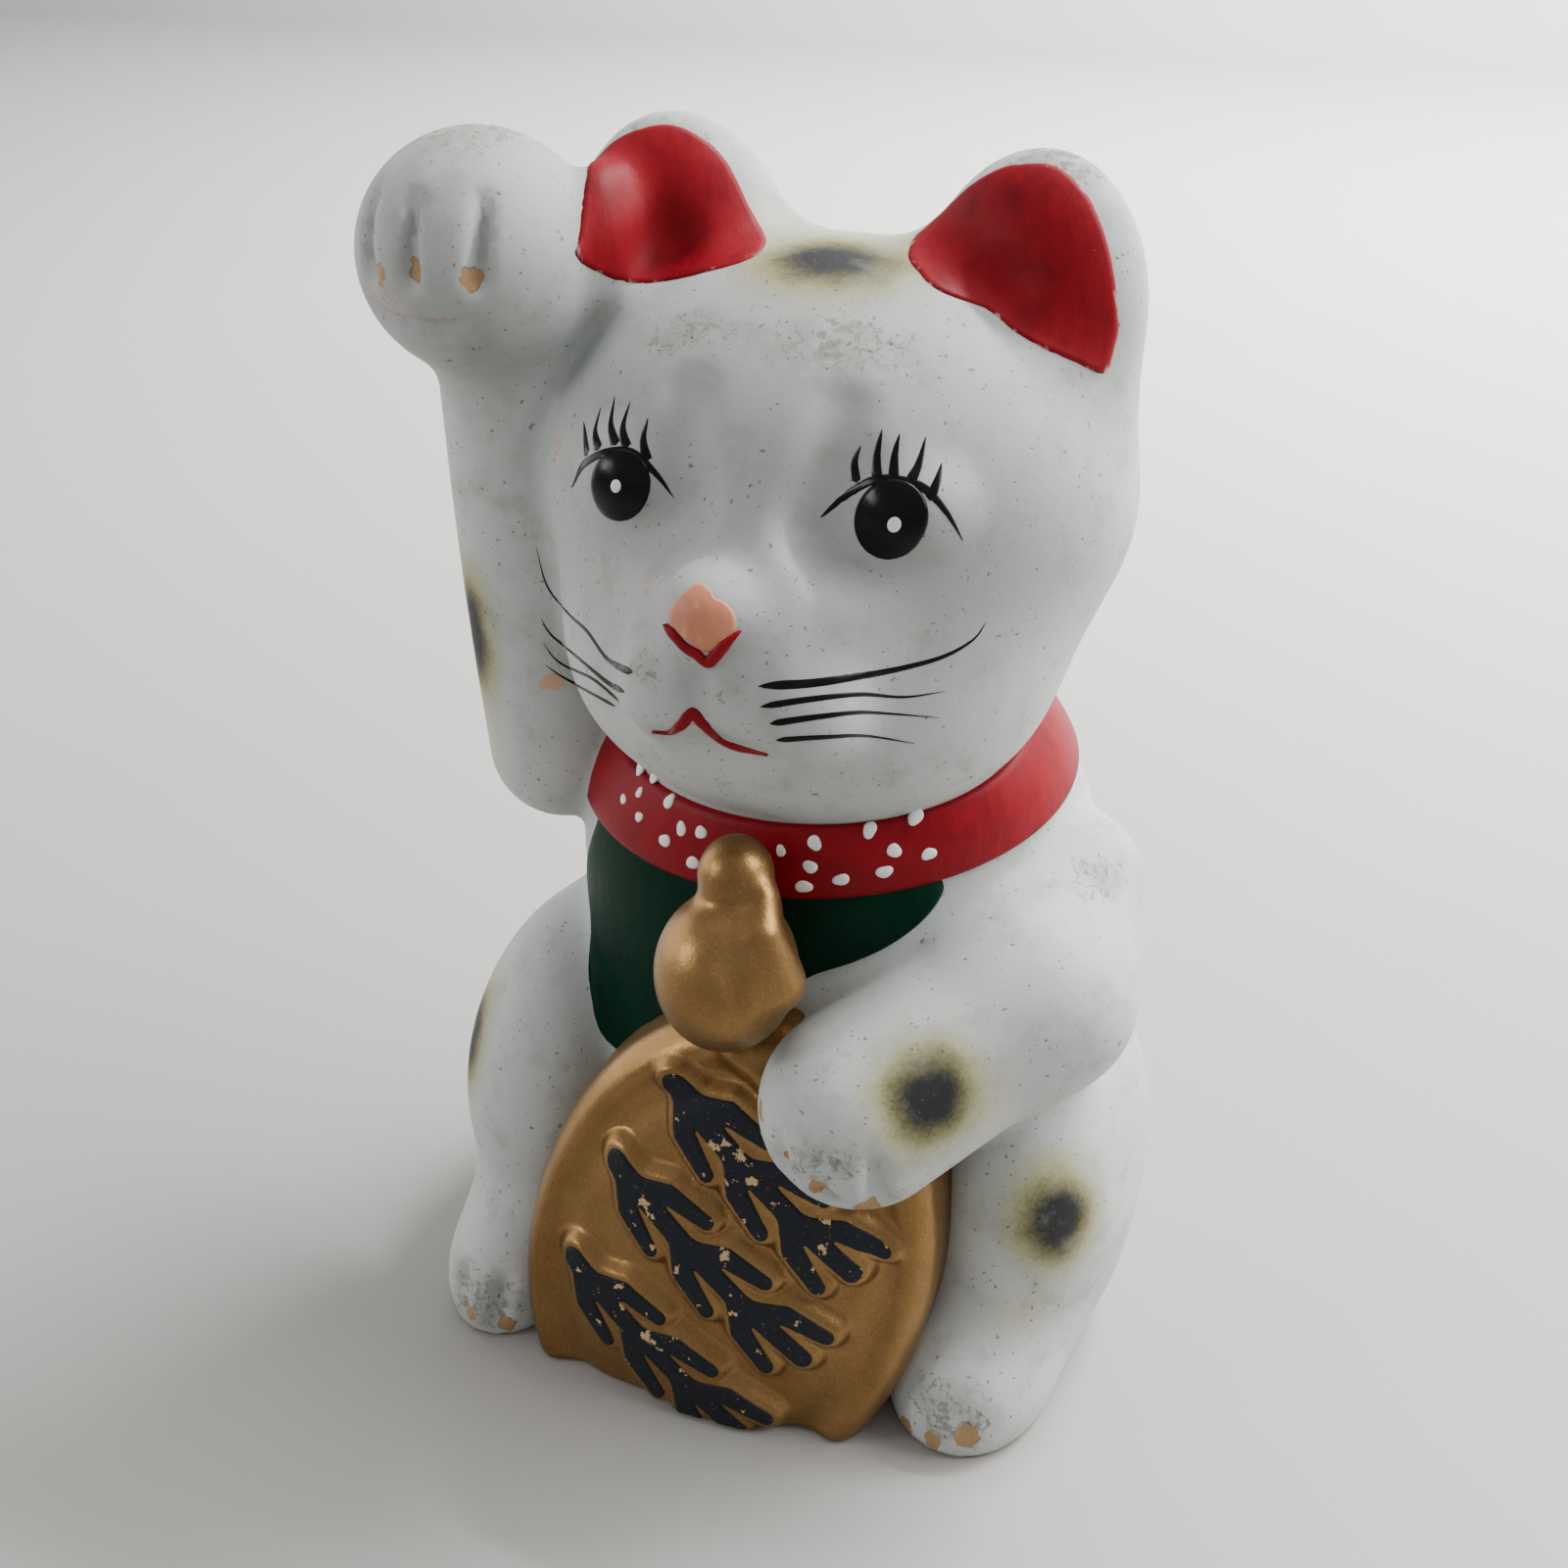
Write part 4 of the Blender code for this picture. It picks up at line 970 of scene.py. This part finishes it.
def collar_face(angle, share, lift=0.0):
    """The strap's face: share is 0 at its lower edge and 1 at its upper one; the middle bulges a little."""
    low, high = np.interp(angle, ROUND, LOW_EDGE), np.interp(angle, ROUND, HIGH_EDGE)
    bulge = 1.3 + 1.0 * np.sin(math.pi * share) + lift
    return collar_place(angle, (share - 0.5) * COLLAR_WIDTH, low + (high - low) * share + bulge)


COLUMNS = 240
angle = np.linspace(-math.pi, math.pi, COLUMNS, endpoint=False)[None, :]
face_rows = collar_face(angle, np.linspace(0, 1, 15)[:, None])
sunk_rows = collar_face(angle, np.array([[1.0], [0.5], [0.0]]), -3.4)
corner_top = collar_face(angle, np.array([[1.03]]), -0.5)
corner_low = collar_face(angle, np.array([[-0.03]]), -0.5)
rows = np.concatenate([corner_low, face_rows, corner_top, sunk_rows, corner_low])
collar_faces = faces_between(len(rows), COLUMNS)[:, ::-1]
last_row = (len(rows) - 1) * COLUMNS
collar_faces[collar_faces >= last_row] -= last_row
collar = piece("collar_strap", rows[:-1].reshape(-1, 3), collar_faces, COLLAR_RED)
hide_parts("collar")

# %% Dots on the collar, and painted highlights on the pupils
COLLAR_DOTS = [
    (-28, 113, 1.0), (-24, 113, 0.9), (-26, 110, 0.8), (-19, 111, 1.1), (-29, 107.6, 0.8),
    (-24.4, 106.6, 0.9), (-15, 108, 1.1), (-11, 108.6, 1.1), (-18, 105, 1.2), (-12, 103, 1.3),
    (4, 109, 0.9), (9.6, 111, 1.2), (9, 107, 1.2), (14, 105, 1.3), (8, 103, 1.4), (18.4, 113.6, 1.2),
    (22, 110.4, 1.2), (20.6, 106.6, 1.3), (25.4, 115.6, 1.3), (27, 109.4, 1.2),
]


def collar_dot(x, z, radius, layer):
    """A drop of paint on the strap: rings in the strap's own angle and width."""
    tries = np.linspace(-1.2, 1.2, 400)
    radius_there = (np.interp(tries, ROUND, LOW_EDGE) + np.interp(tries, ROUND, HIGH_EDGE)) / 2 + 2
    middle_angle = np.interp(x, radius_there * np.sin(tries), tries)
    girth = np.interp(middle_angle, tries, radius_there)
    level = collar_face(np.array([middle_angle]), np.array([0.5]))[0, 2]
    middle_share = 0.5 + (z - level) / COLLAR_WIDTH
    turn = np.linspace(0, 2 * math.pi, 20, endpoint=False)[None, :]
    uneven = 1 + 0.12 * np.sin(2 * turn + x) + 0.06 * np.sin(3 * turn + z)
    size = np.array([0.3, 0.7, 0.92, 1.0, 1.0, 0.5])[:, None] * radius * uneven
    lift = np.array([0.28, 0.24, 0.13, -0.05, -0.4, -0.4])[:, None]
    angle = middle_angle + size * np.cos(turn) / girth
    rings = collar_face(angle, middle_share + size * np.sin(turn) / COLLAR_WIDTH, lift)
    layer.closed(rings[:, ::-1], np.ones(rings.shape[:2]))


for x, z, radius in COLLAR_DOTS:
    collar_dot(x, z, radius, collar_dots_and_eye_highlights)
# A white dot on each pupil is a painted highlight.
for pupil, dot, lid, lashes in EYES:
    collar_dots_and_eye_highlights.patch(oval(*dot), thick=0.42, round_rim=0.4, rows=6, columns=24)
collar_dots_and_eye_highlights.piece("collar_dots_and_eye_highlights", WHITE_DOT_AND_HIGHLIGHT, "white_paint")


# %% [markdown]
# ## Bib
# A dark green bib hangs from the collar.  It's a low step in the clay with its own paint and a round edge.

# %% Bib
def green_paint():
    paint = Paint("bib_green", roughness=0.42, specular=0.06)
    streaks = paint.noise(2.4, 4, 0.6, at=paint.stretched((1, 1, 0.35), (0.2, 0.3, 0)))
    dark = paint.noise(14, 2)
    colour = paint.mix(streaks, (0.0005, 0.014, 0.007), (0.001, 0.028, 0.014))
    colour = paint.mix(paint.ramp(dark, 0.45, 0.7) * 0.5, colour, (0.0004, 0.010, 0.006))
    return paint.done(colour, roughness=0.36 + streaks * 0.2, bump=streaks, height=0.10)


BIB_OUTLINE = [
    (-33, 106), (-38, 97), (-41.5, 87), (-41.5, 78), (-40, 71), (-37.5, 65), (-32, 56), (-20, 54), (-6, 56),
    (2, 66), (5, 78), (9, 85), (17.5, 89.5), (22.5, 92.5), (26.5, 96), (29, 100), (29, 103), (26, 106),
    (12, 106), (-8, 103), (-22, 104),
]
bib_layer = Layer()
bib_layer.patch(
    [(side, -85, up) for side, up in BIB_OUTLINE],
    thick=0.9, field=hollow_form, way=FORWARD, rows=30, columns=140, round_rim=1.4,
)
bib = bib_layer.piece("bib_cloth", green_paint(), "green_paint")
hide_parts("bib")


# %% [markdown]
# ## Gold pieces
# Bell and coin are painted with a satin gold of fine flakes in brown varnish: duller than metal, with a glint
# on each ridge where the light strikes and brown in the creases.

# %% Gold paint
def gold_paint():
    paint = Paint("satin_gold", roughness=0.36, metallic=0.85)
    clouds = paint.noise(12, 3, 0.6)
    flakes = paint.noise(0.45, 2, 0.6)
    streaks = paint.noise(2.0, 3, 0.6, at=paint.stretched((1, 1, 0.5), (0, 0.7, 0)))
    colour = paint.mix(clouds, (0.17, 0.088, 0.026), (0.33, 0.19, 0.070))
    colour = paint.mix(paint.ramp(flakes, 0.50, 0.75) * 0.2, colour, (0.60, 0.42, 0.18))
    chips = paint.ramp(paint.noise(2.6, 4, 0.7), 0.79, 0.80)
    colour = paint.mix(chips, colour, (0.62, 0.52, 0.42))
    rough = 0.30 + streaks * 0.16
    relief = flakes * 0.3 + streaks
    return paint.done(colour, roughness=rough, metallic=0.88 - chips * 0.88, bump=relief, height=0.10)


GOLD = gold_paint()
bell_low, bell_high = corners("bell")
BELL = (bell_low + bell_high) / 2
BELL[2] = 93.0


def bell_form(p):
    """A ball with a loop on top, a lobe at one side and the dent between them."""
    ball = ellipsoid(p, BELL + (-0.8, -0.5, -0.6), (11.8, 12.6, 13.9))
    lobe = limb(p, BELL + (5.8, -3.0, 9.0), BELL + (8.6, -2.5, 0.5), 4.0, 4.8)
    ball = joined(ball, lobe, 2.5)
    ball = carved(ball, limb(p, BELL + (3.4, -11.2, 8.5), BELL + (6.8, -12.6, 1.0), 1.6, 1.0), 3.0)
    knob = ellipsoid(p, BELL + (-0.4, 3.0, 15.6), (6.2, 6.4, 6.8))
    knob = joined(knob, ellipsoid(p, BELL + (5.4, 0.5, 12.2), (2.6, 3.4, 4.2)), 2.5)
    return joined(ball, knob, 3)


bell_points, bell_quads = net(bell_form, BELL - (16, 17, 18), BELL + (16, 17, 26), 0.75)
bell = piece("gold_bell", bell_points, bell_quads, GOLD)
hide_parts("bell", "bell_knob")

# %% [markdown]
# ## The coin
# The coin is an upright oval, nearly an ellipse, that leans to the cat's left and back against the belly.
#  The table cuts off its foot.  On its own face, sideways and up are the two directions in which its
# relief is written: a dome, a raised lip all round, one fold beside the bell, and three leafy sprigs
# whose shoulders swell out of the face.  Near the foot the coin is thicker than at its top, and the paw's
# place is scooped out.

# %% Coin's own directions
COIN_MIDDLE, COIN_LEAN = np.array((-2.3, 28.0)), math.radians(17)
COIN_HALF = np.array((37.5, 51.5))
COIN_FRONT = -60.5  # of the middle, if it reached down to the table
COIN_RAKE = 0.15  # how far it leans back for each step up
COIN_BULGE = 5
COIN_OVAL = 2.1  # a plain ellipse has 2


def coin_plane(p):
    """Sideways and up on the coin's face, with the lean taken out."""
    x, z = p[..., 0] - COIN_MIDDLE[0], p[..., 2] - COIN_MIDDLE[1]
    cos, sin = math.cos(COIN_LEAN), math.sin(COIN_LEAN)
    return cos * x - sin * z, sin * x + cos * z


# %% Sprigs
SPRIGS = [((1.2, 26), 44), ((-1.8, 6), 47), ((-4.8, -17), 43)]  # middle and length
LEAVES = 6
SPRIG_TURN = math.radians(-21)


def flat_limb(u, v, start, end, start_radius, end_radius):
    """Distance in the plane to a tapering stroke."""
    along = np.subtract(end, start)
    share = np.clip(((u - start[0]) * along[0] + (v - start[1]) * along[1]) / (along @ along), 0, 1)
    away = np.hypot(u - start[0] - share * along[0], v - start[1] - share * along[1])
    return away - (start_radius + (end_radius - start_radius) * share)


def sprig(u, v, middle, length):
    """A stem with pairs of long leaves that lie close along it, thin at their ends and full in the middle."""
    cos, sin = math.cos(SPRIG_TURN), math.sin(SPRIG_TURN)
    a, b = (u - middle[0]) * cos + (v - middle[1]) * sin, (v - middle[1]) * cos - (u - middle[0]) * sin
    found = flat_limb(a, b, (-length / 2, 0), (length / 2, 0), 2.3, 1.9)
    for number in range(LEAVES):
        side = (1, -1)[number % 2]
        root = length * (-0.44 + 0.31 * (number // 2)) + side * 1.5
        half, tip = (root + 6.0, side * 4.6), (root + 13.5, side * 6.6)
        lower = flat_limb(a, b, (root, side * 0.3), half, 1.3, 2.1)
        upper = flat_limb(a, b, half, tip, 2.1, 1.5)
        found = joined(found, np.minimum(lower, upper), 1.0)
    return found


def all_sprigs(u, v):
    return np.minimum.reduce([sprig(u, v, *place) for place in SPRIGS])


# %% Coin form
def bell_curve(x):
    """A smooth ridge: e to the power of minus x squared, 1 in its middle."""
    return np.exp(-(x**2))


def coin_face(p):
    """How far forward the face lies: rake, dome, lip, fold and sprigs' shoulders; and the oval's own ring."""
    u, v = coin_plane(p)
    ring = (np.abs(u / COIN_HALF[0]) ** COIN_OVAL + np.abs(v / COIN_HALF[1]) ** COIN_OVAL) ** (1 / COIN_OVAL)
    dome = COIN_RAKE * p[..., 2] + COIN_FRONT + COIN_BULGE * ring**2
    inward = (1 - ring) * 40
    lip = 1.5 * bell_curve((inward - 3.5) / 2.4) - 0.8 * bell_curve((inward - 9) / 2.5)
    away = all_sprigs(u, v)
    rise = np.clip(1 - (away - 0.5) / 2.2, 0, 1)
    shoulder = 2.2 * rise**2 * (3 - 2 * rise)
    fold = 2.2 * bell_curve((v - 39 + 0.5 * u) / 3.0) * np.clip((12 - u) / 10, 0, 1)
    return dome - lip - shoulder - fold, ring


def coin_form(p):
    """Between the face and a back 8 to 15 mm behind it, inside the oval, above the table, edges rounded."""
    face, ring = coin_face(p)
    side = (ring - 1) * 40
    thick = 15 - 7 * np.clip((p[..., 2] - 45) / 30, 0, 1)
    front = (face - p[..., 1]) * 0.9
    back = p[..., 1] - (COIN_RAKE * p[..., 2] + COIN_FRONT + thick + COIN_BULGE * ring**2)
    coin = common(common(common(side, front, 3.0), back, 0.5), -p[..., 2], 1.5)
    return carved(coin, limb(p, (14, -38, 88), (28, -40, 84), 11, 9), 1)


coin_low, coin_high = corners("coin")
COIN_ROOM = np.array((6, 10, 4))
COIN_STEP, SPRIG_STEP = ((0.7, 0.5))
coin_points, coin_quads = net(coin_form, coin_low - COIN_ROOM, coin_high + COIN_ROOM, COIN_STEP)
coin = piece("gold_coin", coin_points, coin_quads, GOLD)
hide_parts("coin")


# %% Black tops of the sprigs
def sprig_paint():
    paint = Paint("chipped_black", roughness=0.55, specular=0.2)
    grain = paint.noise(1.2, 3, 0.6)
    wear = paint.noise(3.4, 4, 0.66)
    colour = paint.mix(grain, (0.004, 0.006, 0.009), (0.013, 0.016, 0.021))
    chips = paint.ramp(wear, 0.625, 0.635)
    colour = paint.mix(chips, colour, (0.50, 0.34, 0.17))
    dust = paint.ramp(paint.noise(0.8, 2), 0.66, 0.72)
    colour = paint.mix(dust * 0.3, colour, (0.16, 0.14, 0.11))
    return paint.done(colour, roughness=0.45 + grain * 0.25, bump=grain * 0.4 - chips, height=0.25)


SPRIG_BLACK = sprig_paint()
for number, place in enumerate(SPRIGS, 1):

    def sprig_top(p, place=place):
        """A film over the shoulder, as wide as the sprig and rounded at its edge."""
        u, v = coin_plane(p)
        face = coin_face(p)[0]
        film = np.maximum(face - 0.4 - p[..., 1], p[..., 1] - face - 1.4)
        return np.maximum(common(sprig(u, v, *place), film, 0.5), 0.6 - p[..., 2])

    found = net(sprig_top, coin_low - COIN_ROOM, coin_high + COIN_ROOM, SPRIG_STEP)
    top = piece(f"sprig_black_{number}", *found, SPRIG_BLACK)
    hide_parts(f"coin_sprig_{number}")


# %% [markdown]
# ## Underneath
# The base is a slab of bare clay, with a round hole closed by a soft rubber stopper.

# %% Clay and rubber
def clay_paint():
    paint = Paint("bare_clay", roughness=0.85)
    clouds = paint.noise(16, 4, 0.6)
    pits = paint.ramp(paint.noise(0.9, 3), 0.62, 0.75)
    colour = paint.mix(clouds, (0.36, 0.22, 0.12), (0.50, 0.33, 0.20))
    colour = paint.mix(pits * 0.6, colour, (0.20, 0.12, 0.07))
    return paint.done(colour, roughness=0.82 + clouds * 0.1, bump=clouds - pits * 0.5, height=0.3)


def rubber_paint():
    paint = Paint("grey_rubber", roughness=0.6)
    haze = paint.noise(4, 3)
    rings = paint.noise(0.6, 2)
    colour = paint.mix(haze, (0.16, 0.155, 0.145), (0.24, 0.235, 0.22))
    return paint.done(colour, roughness=0.52 + haze * 0.2, bump=rings, height=0.05)


for node, finish in (("base_slab", clay_paint()), ("stopper", rubber_paint())):
    for held in frame["nodes"][node].material_slots:
        held.material = finish

# %% [markdown]
# ## Floor, light and camera
# The figure stands on a pale table.  A big window behind its left lights it, a small lamp makes the glints,
# and a far lamp brightens the backdrop.  The camera looks down from the cat's left, so close that the head
# looms.

# %% Floor and backdrop
FLOOR_DEPTH = 0.15  # under the flat base, so that the two never share a plane


def sweep_floor():
    """A floor that curves up into a backdrop: a profile of (forward, up) points carried sideways."""
    turn = np.linspace(0, math.pi / 2, 17)
    bend = np.stack([2600 + 500 * np.sin(turn), 500 - 500 * np.cos(turn)], 1)
    profile = np.concatenate([[(-1500, 0)], bend, [(3100, 3500)]]) - (0, FLOOR_DEPTH)
    sides = np.array([-3500.0, 3500.0])
    points = [(x, y, z) for x in sides for y, z in profile]
    count = len(profile)
    quads = np.array([(i, i + count, i + count + 1, i + 1) for i in range(count - 1)])
    return np.array(points), quads


def floor_paint():
    paint = Paint("table_white", roughness=0.55)
    clouds = paint.noise(400, 3, 0.5)
    fine = paint.noise(3, 3)
    colour = paint.mix(clouds, (0.300, 0.285, 0.257), (0.332, 0.321, 0.302))
    return paint.done(colour, bump=fine, height=0.02)


floor = piece("floor", *sweep_floor(), floor_paint(), body=None)


# %% Lights
def lamp(name, place, aim, size, power, colour=(1, 1, 1)):
    """A square soft light at a place, facing a point, both in millimetres."""
    data = bpy.data.lights.new(name, "AREA")
    data.size = size * MM
    data.energy = power
    data.color = colour
    made = bpy.data.objects.new(name, data)
    offset = np.array(aim) - np.array(place)
    yaw = math.atan2(offset[1], offset[0]) - math.pi / 2
    tip = math.acos(-offset[2] / np.linalg.norm(offset))
    made.location = np.array(place) * MM
    made.rotation_euler = (tip, 0, yaw)
    bpy.context.scene.collection.objects.link(made)


lamp("window", (1000, 350, 900), (0, 0, 100), 900, 27, (0.98, 0.99, 1))
lamp("glint", (-680, -500, 420), (0, 0, 130), 220, 2.0)
lamp("ceiling", (0, 300, 1400), (0, 0, 100), 1200, 5, (1, 0.99, 0.97))
lamp("left_wall", (-900, 60, 250), (0, 0, 120), 700, 3.5)
lamp("backdrop_wash", (700, 900, 1900), (900, 2900, 500), 900, 760, (0.92, 0.945, 1))
world = bpy.context.scene.world or bpy.data.worlds.new("room")
bpy.context.scene.world = world
world.use_nodes = True
sky = world.node_tree.nodes["Background"].inputs
sky["Color"].default_value = (0.86, 0.87, 0.91, 1)
sky["Strength"].default_value = 0.58

# %% Camera
camera_data = bpy.data.cameras.new("camera")
camera_data.lens = 39.5
camera_data.sensor_width = 36
camera = bpy.data.objects.new("camera", camera_data)
camera.location = (0.0880, -0.2666, 0.2515)
turn, pitch, roll = math.radians(20), math.radians(28), math.radians(0.4)
aim = Matrix.Rotation(turn, 3, "Z") @ Matrix.Rotation(math.pi / 2 - pitch, 3, "X")
camera.rotation_euler = (aim @ Matrix.Rotation(roll, 3, "Z")).to_euler()
bpy.context.scene.collection.objects.link(camera)
bpy.context.scene.camera = camera
